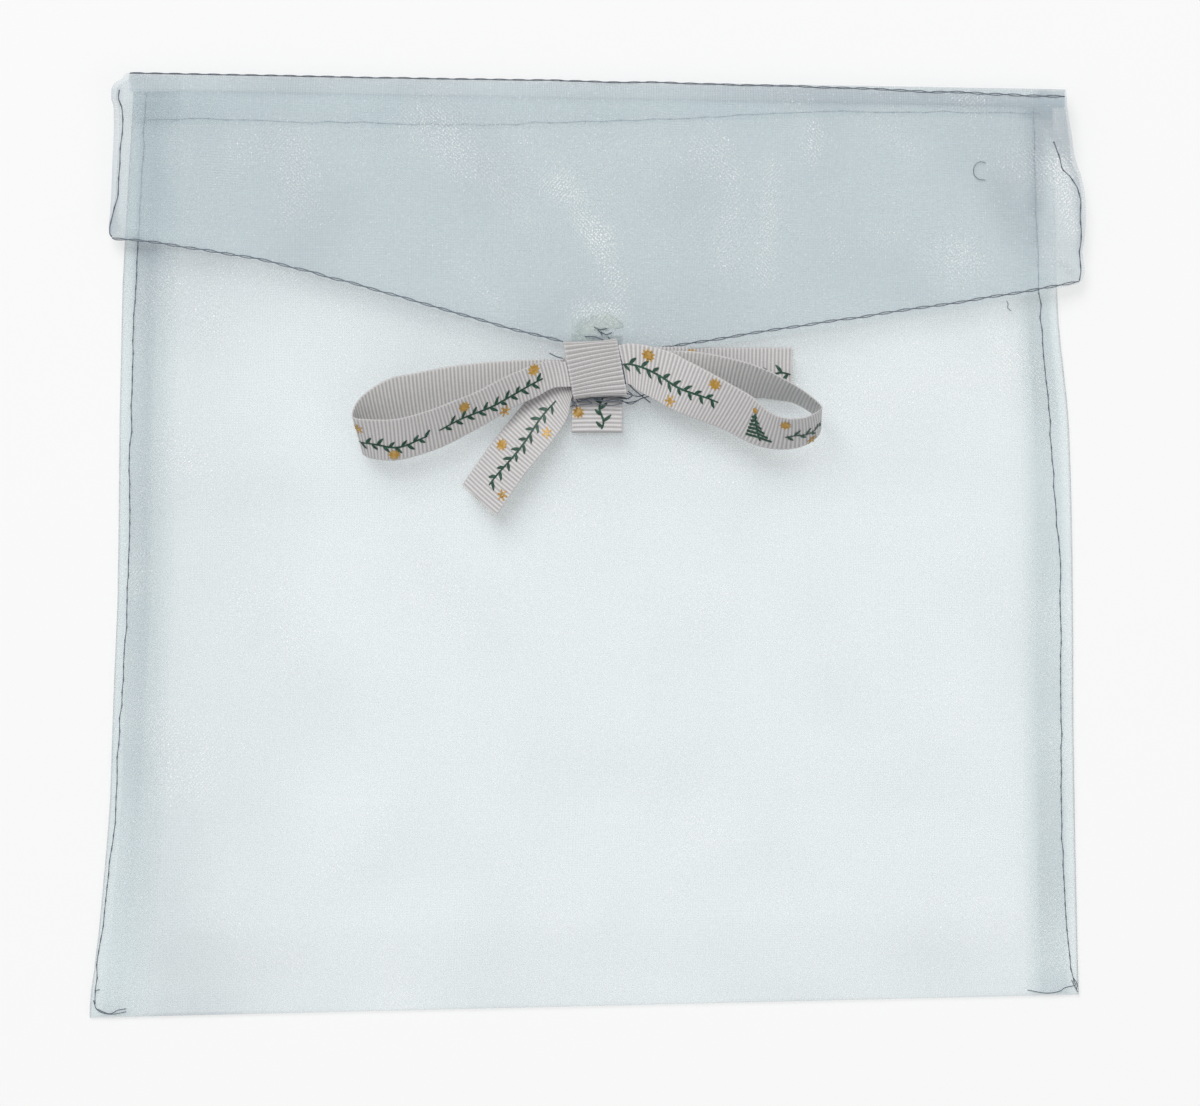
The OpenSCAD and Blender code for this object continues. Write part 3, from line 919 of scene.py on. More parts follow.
@dataclass
class Pocket:
    """Pocket made of one strip of organza, folded at the base and sewn up both sides.

    Attributes:
        shape: Places shared with the flap.
        finishes: The finishes.
        left_turning: Width of the left edge that is turned in, by share of the way down.
        right_turning: Width of the right edge that is turned in.
        left_pressed: Density of the cloth in the left turning.
        right_pressed: Density of the cloth in the right turning.
        left_inset: Distance of the left seam from the edge.
        right_inset: Distance of the right seam from the edge.
        flap_line: Lower edge of the closed flap, Y by X, below which its shadow is painted on the
            front.
        glints: Painted highlights in streaks where the two layers line up and shine, each from one
        place to another with its half width and strength.
        hem_depth: Depth of the hem, by X.
        hem_seam: Distance of the hem's stitching below the fold line, by X.
        creases: Soft creases across the front: Y at the centre line, lean and depth.
        layer: Thickness of a layer in a turning or hem.
        flap_end: Share of the way down that the closed flap covers at the sides.
        hem_dense: How dense the hem looks.
        last_down: Share of the way down where the base fold starts.
        weave_shift: How far the back's weave lies from the front's.
        turned_cols: Columns of a turned edge, by how far into it they lie.
        rows: Rows of the cloth's mesh.
        cols: Columns of the cloth's mesh.
    """

    shape: Outline
    finishes: Finishes
    left_turning: Table = ((0, 9.5), (0.2, 11.0), (0.5, 11.0), (0.8, 11.0), (1, 12.0))
    right_turning: Table = ((0, 6.8), (0.2, 8.2), (0.4, 10.0), (1, 10.6))
    left_pressed: Table = ((0, 0.66), (0.5, 0.5), (0.75, 0.34), (1, 0.2))
    right_pressed: Table = (
        (0, -1.4), (0.18, -1.4), (0.23, 0.42), (0.4, 0.28), (0.5, 0.12), (0.7, 0.14), (0.85, 0.34),
        (1, 0.3),
    )
    left_inset: Table = (
        (0, 2.6), (0.21, 2.7), (0.245, 2.4), (0.365, 2.3), (0.42, 2.1), (0.48, 2.2), (0.53, 2.0),
        (0.605, 1.9), (0.657, 1.7), (0.705, 1.3), (0.75, 1.2), (0.81, 1.2), (0.835, 0.9),
        (0.89, 0.8), (0.94, 0.6), (0.97, 0.85), (1, 0.9),
    )
    right_inset: Table = (
        (0, 3.9), (0.2, 3.7), (0.23, 3.5), (0.35, 3.8), (0.38, 3.7), (0.42, 3.4), (0.47, 3.0),
        (0.51, 2.5), (0.7, 2.5), (0.81, 2.7), (0.89, 2.4), (0.91, 2.3), (0.95, 1.7), (0.97, 1.4),
        (0.98, 1.1), (1, 0.7),
    )
    flap_line: Table = (
        (-95.5, 60.9), (-80, 58.9), (-58, 54.7), (-38, 49.1), (-6, 40.3), (8, 38.3), (34, 42.1),
        (97.6, 52.3),
    )
    glints: Sequence[Point] = (
        (79.5, 42.5, 85.0, 36.5, 3.0, 0.5), (62.0, 41.0, 72.0, 37.5, 3.0, 0.3),
        (-6.0, 62.0, 4.0, 58.0, 3.0, 0.2), (20.0, -20.0, 32.0, -34.0, 5.0, 0.15),
    )
    hem_depth: Table = ((-90, 6.6), (-20, 6.9), (20, 4.4), (50, 3.0), (92, 2.4))
    hem_seam: Table = (
        (-90, 9.3), (-70, 9.4), (-38, 9.7), (-22, 9.6), (10, 8.0), (22, 7.2), (46, 5.7), (85, 5.2),
        (92, 4.7),
    )
    creases: Sequence[Point] = ((8.0, 0.05, 0.2), (-49.0, -0.06, 0.24), (-80.0, 0.04, 0.22))
    layer: float = 0.3
    flap_end: float = 0.22
    # hem_dense: Density of the hem.
    hem_dense: float = 0.45
    last_down: float = 0.997
    weave_shift: Point = (31.0, 17.0)
    turned_cols: Point = (1.0, 0.9, 0.8, 0.7, 0.6, 0.5, 0.4, 0.3, 0.22, 0.14, 0.08, 0.03)
    rows: int = 110
    cols: int = 96

    def across(self) -> tuple[Array, Array]:
        """Columns of the cloth, with the turned edges.

        Returns:
            Signed share across for each column, and how far into the turning it lies, from 0 to 1.
        """
        turned, flat = np.array(self.turned_cols), spread(self.cols, 0.86)
        ends = np.ones(len(turned))
        into = np.concatenate([turned, np.zeros(len(flat)), turned[::-1]])
        return np.concatenate([-ends, flat, ends]), into

    def cloth_points(self, down: float, front: bool) -> tuple[Array, Array, Array]:
        """Points of one row of the front or back cloth.

        Args:
            down: Share of the way down.
            front: Whether it is the front.

        Returns:
            The points, their places across the flat cloth and how far into the turning they lie.
        """
        shape = self.shape
        share, into = self.across()
        side, right = np.sign(share), share > 0
        edge = np.where(right, shape.side_x(1, down), shape.side_x(-1, down))
        width = np.where(right, look_up(self.right_turning, down), look_up(self.left_turning, down))
        x = np.abs(share) * edge - side * into * width
        y = shape.down_y(x, down)
        inner = np.abs(x / edge)
        tuck = self.layer * smooth(into * 16)
        if front:
            calm = smooth((0.95 - inner) / 0.1) * smooth((0.97 - down) / 0.1) * smooth(down * 9)
            z = shape.front_height(inner, down) - tuck + calm * self.front_waves(x, y)
        else:
            z = shape.back_z + tuck
        return np.stack([x, y, z], axis=-1), np.abs(share) * edge + side * into * width, into

    def density_and_shading(self, points: Array, into: Array, down: float, front: bool) -> Array:
        """Density of a row of the cloth, with the shade painted on the front.

        The turned edges are denser. On the front it is darker along the base, towards the left side
        and along the right seam near the mouth, and it carries painted shadow below the closed
        flap's edge and below the bow. Outside the seam and towards a raw edge it is loose, which
        gives values below 0.

        Args:
            points: Points of the row.
            into: How far into the turning, from 0 to 1.
            down: Share of the way down.
            front: Whether it is the front.

        Returns:
            The value at each place.
        """
        x, y = points[:, 0], points[:, 1]
        right = x > 0
        turned = np.where(right, look_up(self.right_pressed, down), look_up(self.left_pressed, down))
        outside = np.where(right, -1.8, -0.8)
        turned = outside + (turned - outside) * smooth((into - 0.1) / 0.12)
        start = np.where(right, 0.7, 0.5)
        loose = smooth((into - start) / (1 - start))
        seam = self.shape.side_x(1, down) - look_up(self.right_inset, down)
        bare = 1.4 * smooth((x - seam) / 0.6) * smooth((self.flap_end - down) / 0.03)
        value = np.where(into > 0, turned * (1 - loose) - 2 * loose, -bare)
        if not front:
            return value
        # Painted shadow: darker below the closed flap's edge, and in a patch below the bow.
        below = look_up(self.flap_line, x) - y
        reach = np.where(right, 7.0, 7.0 + 3.0 * smooth(1 - np.abs(x + 25) / 30))
        shade = np.where(right, 0.4, 0.9) * np.exp(-np.clip(below, 0, None) / reach)
        shade = shade * smooth((below + 2) / 3)
        shade = shade + 0.6 * np.exp(-(((x - 8) / 22) ** 2) - ((y - 28) / 6) ** 2)
        base = 0.2 * smooth((down - 0.965) / 0.03)
        side = smooth((-x - 50) / 40) * smooth((x + 95) / 10)
        side = side * (0.5 + 0.1 * smooth((down - 0.5) / 0.4))
        pulled = 0.6 * np.exp(-(((x - seam) / 1.1) ** 2)) * smooth((0.2 - down) / 0.05)
        return value + np.where(into > 0, 0.0, shade + base + side + pulled)

    def front_waves(self, x: Array, y: Array) -> Array:
        """Swells of the front, with the soft creases that run across it.

        Args:
            x: Places across.
            y: Places along.

        Returns:
            Height above the even front.
        """
        swell = waves(x, y, seed=11, size=26, depth=0.16)
        for at, lean, depth in self.creases:
            swell = swell - depth * np.exp(-(((y - at - lean * x) / 5.0) ** 2))
        return swell

    def front_cloth(self) -> Piece:
        """Builds the front, with its hem, its turned edges and the fold at the base.

        Returns:
            The piece.
        """
        shape, grid = self.shape, ClothGrid()
        half = shape.pocket_h / 2
        for part in (1.0, 0.75, 0.5, 0.25, 0.05):
            points, flat_x, into = self.cloth_points(0, True)
            depth = look_up(self.hem_depth, points[:, 0]) * part
            points[:, 1] -= depth
            points[:, 2] -= self.layer * smooth(part * 16) + 0.05
            grid.add(points, flat_x, half + depth, np.full(len(points), self.hem_dense))
        upper, lower = np.linspace(0, 0.9, self.rows - 24), np.linspace(0.9, 0.9965, 25)[1:]
        for down in (*upper, *lower):
            points, flat_x, into = self.cloth_points(down, True)
            dense_and_shade = self.density_and_shading(points, into, down, True)
            grid.add(points, flat_x, shape.pocket_h * (0.5 - down), dense_and_shade)
        radius = (shape.seam_z - shape.back_z) / 2
        for turn in np.linspace(0.15, 1, 8) * math.pi:
            points, flat_x, into = self.cloth_points(self.last_down, True)
            inner = radius - self.layer * smooth(into * 16)
            points[:, 1] = shape.base_y(points[:, 0]) + radius - inner * math.sin(turn)
            points[:, 2] = shape.back_z + radius + inner * math.cos(turn)
            grid.add(points, flat_x, -half - turn * radius, self.density_and_shading(points, into, 1.0, True))
        # The density mark carries the painted shadow of the flap and the bow, and the glints mark
        # paints highlights.
        marks = {
            "dense_and_shade": np.concatenate(grid.dense_and_shade), "glints": streaks(grid.points(), self.glints)
        }
        piece = grid.piece("pocket_front_cloth", self.finishes.pocket, marks, turned=False)
        settle(piece, Body.POCKET, ["front_panel"])
        return piece

    def back_cloth(self) -> Piece:
        """Builds the back, with its edges turned in on top of it.

        Returns:
            The piece.
        """
        grid = ClothGrid()
        shift_x, shift_y = self.weave_shift
        for down in np.linspace(0, self.last_down, 60):
            points, flat_x, into = self.cloth_points(down, False)
            along = self.shape.pocket_h * (0.5 - down) + shift_y
            grid.add(points, flat_x + shift_x, along, self.density_and_shading(points, into, down, False))
        marks = {"dense_and_shade": np.concatenate(grid.dense_and_shade)}
        piece = grid.piece("pocket_back_cloth", self.finishes.pocket_back, marks)
        settle(piece, Body.POCKET, ["back_panel"])
        return piece

    def seam_line(self, side: int) -> Array:
        """Line of a side seam on top of the front.

        Args:
            side: -1 for the left and 1 for the right.

        Returns:
            Points on the cloth.
        """
        down = np.linspace(0.002, 0.985, 120)
        edge = self.shape.side_x(side, down)
        x = edge - side * look_up(self.left_inset if side < 0 else self.right_inset, down)
        y = self.shape.down_y(x, down)
        return np.stack([x, y, self.shape.front_height(x / edge, down)], axis=1)

    def side_stitching(self, side: int, name: str, ends: Sequence[Sequence[Point]]) -> Piece:
        """Builds the stitching of one side, with its loose ends at the base.

        Args:
            side: -1 for the left and 1 for the right.
            name: The same in words.
            ends: Places of each loose end. The first one goes on from the seam.

        Returns:
            The piece.
        """
        bag = MeshBag()
        line = self.seam_line(side)
        Stitching(Stitch.LOCK, pitch=2.6, radius=0.1, wander=0.09, seed=3 + side).sew(bag, line)
        for i, end in enumerate(ends):
            start = [] if i else [line[-1] + (0, 0, 0.12)]
            tail = [(x, y, self.shape.seam_z + 0.3) for x, y in end]
            bag.tube(wisp([*start, *tail], 24), 0.09, 5)
        piece = bag.piece(f"{name}_seam_stitching", self.finishes.thread)
        return settle(piece, Body.POCKET, [f"{name}_seam_thread"])

    def hem_stitching(self) -> Piece:
        """Builds the stitching of the mouth's hem, with its loose end.

        Returns:
            The piece.
        """
        shape = self.shape
        x = np.linspace(shape.side_x(-1, 0) + 2.8, shape.side_x(1, 0) - 2.6, 160)
        edge = np.where(x < 0, shape.side_x(-1, 0.02), shape.side_x(1, 0.02))
        y = shape.fold_y(x) - look_up(self.hem_seam, x)
        line = np.stack([x, y, shape.front_height(x / edge, 0.02)], axis=1)
        bag = MeshBag()
        Stitching(Stitch.LOCK, pitch=3.4, radius=0.09, wander=0.12, seed=9).sew(bag, line)
        end = [(82.9, 48.3, 5.7), (83.2, 47.6, 5.9), (83.1, 46.9, 5.8), (83.8, 46.3, 5.7)]
        bag.tube(wisp(end, 12), 0.08, 5)
        piece = bag.piece("mouth_hem_stitching", self.finishes.thread)
        return settle(piece, Body.POCKET, ["mouth_hem_thread"])

    def build(self) -> None:
        """Builds all pieces of the pocket."""
        self.back_cloth()
        self.front_cloth()
        self.side_stitching(-1, "left", (
            ((-99.1, -91.3), (-98.6, -92.9), (-97.4, -93.7), (-95.4, -94.0), (-92.6, -93.5)),
            ((-98.4, -93.0), (-96.0, -93.9), (-94.3, -93.2), (-92.6, -92.9)),
            ((-98.9, -89.5), (-98.4, -89.2), (-97.9, -89.1)),
        ))
        self.side_stitching(1, "right", (
            ((97.0, -88.2), (94.9, -88.7), (93.6, -89.5), (91.0, -89.8), (87.4, -89.2)),
            ((96.6, -86.8), (97.3, -88.0), (97.1, -89.2)),
            ((96.2, -87.2), (96.9, -88.6), (97.4, -89.5)),
        ))
        self.hem_stitching()


# ---- Flap


@dataclass
class Flap:
    """Flap of two plies that turns on the fold, ends in a broad low point and is chain stitched.

    Attributes:
        shape: Places shared with the pocket.
        finishes: The finishes.
        left_edge: Left edge, X by share of the way out.
        right_edge: Right edge, X by share of the way out.
        left_corner: Left edge on the fold's round, X by degrees.
        left_seam: Distance of the left stitching from the edge, by share of the way out.
        right_seam: Distance of the right stitching from the edge.
        right_pull: How much further in the right stitching starts, by share of the way out.
        lower_seam: Lower row of stitches, Y by X.
        lower_margin: Cloth that stands out below that row, by X.
        top_seam: Distance of the top row of stitches from the fold, by X.
        folds: Gathers, each from one place to another, with its half width and its depth. A negative
            depth makes the cloth lighter, and the one over the tab's cut end is a painted highlight.
        glints: Painted highlights in streaks where the two plies line up and shine, given like the
            gathers.
        droop: How far the sides hang.
        tip_lift: How far the tip is lifted by the tab under it.
        trim: Share of the way to the stitching at which the lining stops.
        neutral_r: Radius at which the cloth keeps its length over the fold.
        arc_rows: Rows of the mesh on the fold's round.
        rows: Rows of the mesh beyond it.
        cols: Columns of the mesh.
    """

    shape: Outline
    finishes: Finishes
    left_edge: Table = (
        (0, -95.1), (0.07, -95.2), (0.12, -94.7), (0.25, -94.8), (0.41, -95.0), (0.55, -95.2),
        (0.72, -95.4), (0.82, -95.6), (0.92, -95.9), (0.965, -95.8), (1, -94.6),
    )
    right_edge: Table = (
        (0, 94.8), (0.09, 95.3), (0.17, 95.9), (0.27, 96.4), (0.34, 97.1), (0.385, 97.8),
        (0.46, 98.4), (0.53, 98.7), (0.61, 98.8), (0.69, 98.7), (0.77, 98.4), (0.815, 98.0),
        (0.88, 98.4), (0.93, 98.6), (0.97, 98.3), (1, 97.2),
    )
    left_corner: Table = ((0, -92.0), (35, -92.7), (54, -93.0), (69, -94.4), (90, -95.1))
    left_seam: Table = (
        (0, 1.7), (0.05, 1.5), (0.15, 1.65), (0.25, 1.7), (0.55, 1.5), (0.72, 1.4), (0.81, 0.8),
        (0.89, 0.25), (1, 0.15),
    )
    right_seam: Table = (
        (0, 0.6), (0.3, 1.2), (0.34, 1.4), (0.385, 1.0), (0.53, 1.1), (0.61, 1.3), (0.69, 1.0),
        (0.815, 0.6), (0.88, 0.8), (0.95, 0.9), (1, 0.5),
    )
    right_pull: Table = ((0.2, 2.9), (0.3, 1.9), (0.376, 1.4), (0.447, 0.4), (0.52, 0.0))
    lower_seam: Table = (
        (-95.5, 60.9), (-94.6, 60.6), (-90.6, 60.4), (-86, 59.9), (-80, 58.9), (-66.4, 56.7),
        (-58, 54.7), (-38, 49.1), (-18, 43.3), (-6, 40.3), (1, 38.9), (8, 38.3), (14, 38.9),
        (20, 39.7), (34, 42.1), (54, 45.1), (74, 48.1), (90, 50.7), (97.6, 52.3), (99, 52.6),
    )
    lower_margin: Table = (
        (-96, 0.25), (-60, 0.5), (0, 0.6), (10, 0.9), (30, 1.3), (70, 1.4), (84, 0.9), (98, 0.5),
    )
    top_seam: Table = ((-94, 0.3), (0, 0.4), (35, 0.6), (56, 1.0), (80, 1.6), (95, 1.9))
    folds: Sequence[Point] = (
        (88.8, 86.3, 88.8, 67.1, 1.6, 0.9), (88.8, 67.0, 88.8, 56.3, 1.0, 0.4),
        (89.6, 82.3, 89.4, 77.1, 0.7, 0.7), (90.4, 89.5, 91.2, 83.5, 0.8, 1.1),
        (91.2, 83.5, 93.2, 79.5, 0.7, 1.1), (93.2, 79.5, 96.0, 75.1, 0.6, 1.1),
        (93.8, 88.0, 95.4, 79.0, 2.0, 1.3), (90.3, 89.0, 90.8, 86.3, 1.5, 1.3),
        (93.6, 55.9, 96.0, 53.9, 0.6, 0.8), (-90.0, 73.1, -89.8, 66.7, 0.7, 0.6),
        # The next gather, with a negative depth, is a painted highlight over the tab's cut end.
        (-1.6, 42.8, 5.2, 43.6, 2.0, -1.5), (-93.0, 63.5, -90.5, 62.0, 2.5, 0.4),
        (-90.0, 92.0, -84.0, 89.0, 3.0, 0.35), (-95.4, 90.0, -95.9, 63.0, 1.4, 3.4),
        (96.5, 80.0, 98.4, 58.0, 1.2, 1.2), (-91.0, 83.0, -91.2, 65.0, 2.4, -1.0),
        (82.0, 71.0, 85.0, 62.0, 4.0, 0.5),
    )
    glints: Sequence[Point] = (
        (-19.0, 71.5, -12.0, 64.0, 2.4, 0.3), (-6.0, 71.5, 2.0, 60.5, 2.4, 0.55),
        (1.0, 61.5, 5.5, 51.5, 2.8, 0.6), (-25.0, 56.0, -20.0, 49.5, 2.2, 0.25),
        (-1.5, 46.0, 5.5, 46.5, 2.4, 0.8), (-60.0, 64.0, -30.0, 60.0, 5.0, 0.12),
        (28.5, 73.0, 27.0, 55.0, 2.6, 0.3), (36.0, 75.0, 34.5, 53.0, 2.2, 0.45),
        (41.0, 88.0, 46.0, 80.0, 3.0, 0.22), (-14.0, 78.0, 30.0, 62.0, 13.0, 0.24),
        (-84.0, 80.0, -76.0, 68.0, 4.0, 0.15), (60.0, 62.0, 80.0, 58.0, 4.0, 0.12),
        (43.8, 82.0, 43.8, 76.5, 2.2, 0.5), (48.0, 61.5, 49.5, 57.5, 2.0, 0.4),
        (56.0, 83.5, 66.0, 76.5, 3.0, 0.3), (75.5, 57.5, 78.0, 54.5, 2.4, 0.35),
        (93.0, 75.5, 96.0, 62.0, 1.9, 0.9), (90.0, 58.0, 95.0, 55.5, 1.8, 0.35),
        (70.0, 69.0, 84.0, 70.0, 3.0, 0.12),
    )
    droop: float = 2.4
    tip_lift: float = 0.2
    trim: float = 0.6
    neutral_r: float = 3.3
    arc_rows: int = 22
    rows: int = 46
    cols: int = 130

    def lower_y(self, x: object) -> Array:
        """Lower edge of the cloth."""
        return look_up(self.lower_seam, x) - look_up(self.lower_margin, x)

    def change(self, share: Array, out: Array) -> Array:
        """Height above or below the flap's level, with the drooping sides and the lifted tip."""
        lift = self.tip_lift * smooth(1 - np.abs(share) * 2.5) * smooth(out * 1.6)
        return lift - self.droop * np.abs(share) ** 12 * smooth(out * 3)

    def sides(self, out: object, trimmed: bool) -> tuple[Array, Array]:
        """Left and right edge of a ply.

        Args:
            out: Share of the way out.
            trimmed: Whether the ply stops short of the edge, as the lining does.

        Returns:
            X of both edges.
        """
        trim = self.trim if trimmed else 0
        left = look_up(self.left_edge, out) + trim * look_up(self.left_seam, out)
        return left, look_up(self.right_edge, out) - trim * look_up(self.right_seam, out)

    def flat_points(self, share: object, out: object, r: float, trimmed: bool = False) -> Array:
        """Points of a ply beyond the fold's round.

        Args:
            share: Signed share across.
            out: Share of the way out.
            r: Radius of the ply over the fold, which sets its height.
            trimmed: Whether the ply stops short of the edge.

        Returns:
            Points in millimetres.
        """
        share, out = np.broadcast_arrays(np.asarray(share, dtype=float), np.asarray(out, float))
        x, end_x = (
            np.where(share < 0, -share * left, share * right)
            for left, right in (self.sides(out, trimmed), self.sides(1.0, trimmed))
        )
        end_y = look_up(self.lower_seam, end_x) if trimmed else self.lower_y(end_x)
        y = self.shape.round_y(x) + (end_y - self.shape.round_y(end_x)) * out
        calm = smooth(out * 4) * smooth((1 - np.abs(share)) * 6) * smooth((1.02 - out) * 5)
        swell = calm * waves(x, y, seed=23, size=24, depth=0.12)
        z = self.shape.fold_z + r + self.change(share, out) + swell
        return np.stack([x, y, z], axis=-1)

    def density_and_shading(self, points: Array) -> Array:
        """Density of the cloth along the fold and in the gathers, with a painted highlight over the
        tab's end.

        Args:
            points: Points of the ply.

        Returns:
            The value at each point.
        """
        x, y = points[:, 0], points[:, 1]
        inward = self.shape.fold_y(x) - y
        below = smooth((inward - look_up(self.top_seam, x)) / 0.8)
        fades = np.exp(-(np.clip((inward - 3.0) / 1.4, 0, None) ** 2))
        return (0.4 + 1.3 * smooth(x / 80)) * below * fades + streaks(points, self.folds)

    def ply(self, name: str, r: float, first_turn: float, finish: Material) -> Piece:
        """Builds one ply, round the fold and out to the point.

        Args:
            name: Name of the piece.
            r: Radius of the ply over the fold.
            first_turn: Where it starts on the round, in degrees above the hinge. The outer ply
                starts at -90, on the back, and the lining above the hinge.
            finish: Its material.

        Returns:
            The piece.
        """
        shape, grid = self.shape, ClothGrid()
        trimmed = first_turn > -90
        share = spread(self.cols, 0.8)
        right = self.sides(0.0, trimmed)[1]
        for turn in np.radians(np.linspace(first_turn, 90, self.arc_rows, endpoint=False)):
            left = look_up(self.left_corner, math.degrees(turn))
            reach = r
            if trimmed:
                left = left + self.trim * self.left_seam[0][1]
            else:
                reach = shape.back_r + (r - shape.back_r) * smooth((turn + math.pi / 2) / math.pi)
            x = np.where(share < 0, -share * left, share * right)
            y = shape.round_y(x) + reach * math.cos(turn)
            z = np.full_like(x, shape.fold_z + reach * math.sin(turn))
            grid.add(np.stack([x, y, z], axis=1), x, self.neutral_r * (math.pi / 2 - turn))
        for out in np.linspace(0, 1, self.rows):
            points = self.flat_points(share, out, r, trimmed)
            grid.add(points, points[:, 0], points[:, 1] - shape.round_y(points[:, 0]))
        points = grid.points()
        # The density mark carries a painted highlight over the tab's end, and the glints mark paints
        # highlights.
        marks = {"dense_and_shade": self.density_and_shading(points), "glints": streaks(points, self.glints)}
        return grid.piece(name, finish, marks)

    def plies(self) -> None:
        """Builds the outer ply, which bends on the fold, and the lining under it."""
        shape = self.shape
        outer = self.ply("flap_outer_cloth", shape.outer_r, -90, self.finishes.flap)
        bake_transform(outer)
        settle(outer, None, ["flap_outer"])
        lining = self.ply("flap_lining_cloth", shape.lining_r, 8, self.finishes.lining)
        settle(lining, Body.FLAP, ["flap_lining"])

    def edge_stitching(self) -> Piece:
        """Builds the stitching round the sides and the lower edge, with one loose curl of thread.

        Returns:
            The piece.
        """
        bag = MeshBag()
        level = self.shape.outer_r
        for side, table, inset, pull, start in (
            (-1, self.left_edge, self.left_seam, ((0, 0.0),), 0.01),
            (1, self.right_edge, self.right_seam, self.right_pull, 0.2),
        ):
            out = np.linspace(start, 0.975, 60)
            edge = look_up(table, out)
            x = edge - side * look_up(inset, out) - look_up(pull, out)
            line = self.flat_points(side * np.abs(x / edge), out, level)
            Stitching(Stitch.LOCK, pitch=3.0, radius=0.11, wander=0.1, seed=5 + side).sew(bag, line)
        x = np.linspace(-95.2, 97.4, 300)
        y = look_up(self.lower_seam, x)
        left, right = self.sides(0.97, False)
        top = self.shape.round_y(x)
        out = (top - y) / (top - self.lower_y(x))
        line = self.flat_points(np.where(x < 0, x / -left, x / right), out, level)
        line[:, 0], line[:, 1] = x, y
        chain = Stitching(Stitch.CHAIN, pitch=3.7, radius=0.085, wander=0.06, seed=17, loop_w=0.17)
        chain.sew(bag, line)
        curl = ((78.6, 75.6), (77.4, 75.8), (76.4, 74.9), (76.3, 73.4), (77.2, 72.4), (78.6, 72.2))
        bag.tube(wisp([(a, b, self.shape.fold_z + level + 0.35) for a, b in curl], 26), 0.08, 5)
        piece = bag.piece("flap_edge_stitching", self.finishes.thread)
        return settle(piece, Body.FLAP, ["flap_edge_thread"])

    def fold_stitching(self) -> Piece:
        """Builds the chain stitching along the fold.

        Returns:
            The piece.
        """
        shape = self.shape
        x = np.linspace(-91.6, 94.4, 260)
        turn = np.arccos(np.clip(1 - look_up(self.top_seam, x) / shape.outer_r, -1, 1))
        up = np.stack([np.zeros_like(x), np.cos(turn), np.sin(turn)], axis=1)
        axis = np.stack([x, shape.round_y(x), np.full_like(x, shape.fold_z)], axis=1)
        bag = MeshBag()
        chain = Stitching(Stitch.CHAIN, pitch=3.8, radius=0.09, wander=0.1, seed=29)
        chain.sew(bag, axis + up * shape.outer_r, up)
        piece = bag.piece("fold_stitching", self.finishes.thread)
        return settle(piece, Body.FLAP, ["fold_seam_thread"])

    def build(self) -> None:
        """Builds all pieces of the flap."""
        self.plies()
        self.edge_stitching()
        self.fold_stitching()


# ---- Ribbon


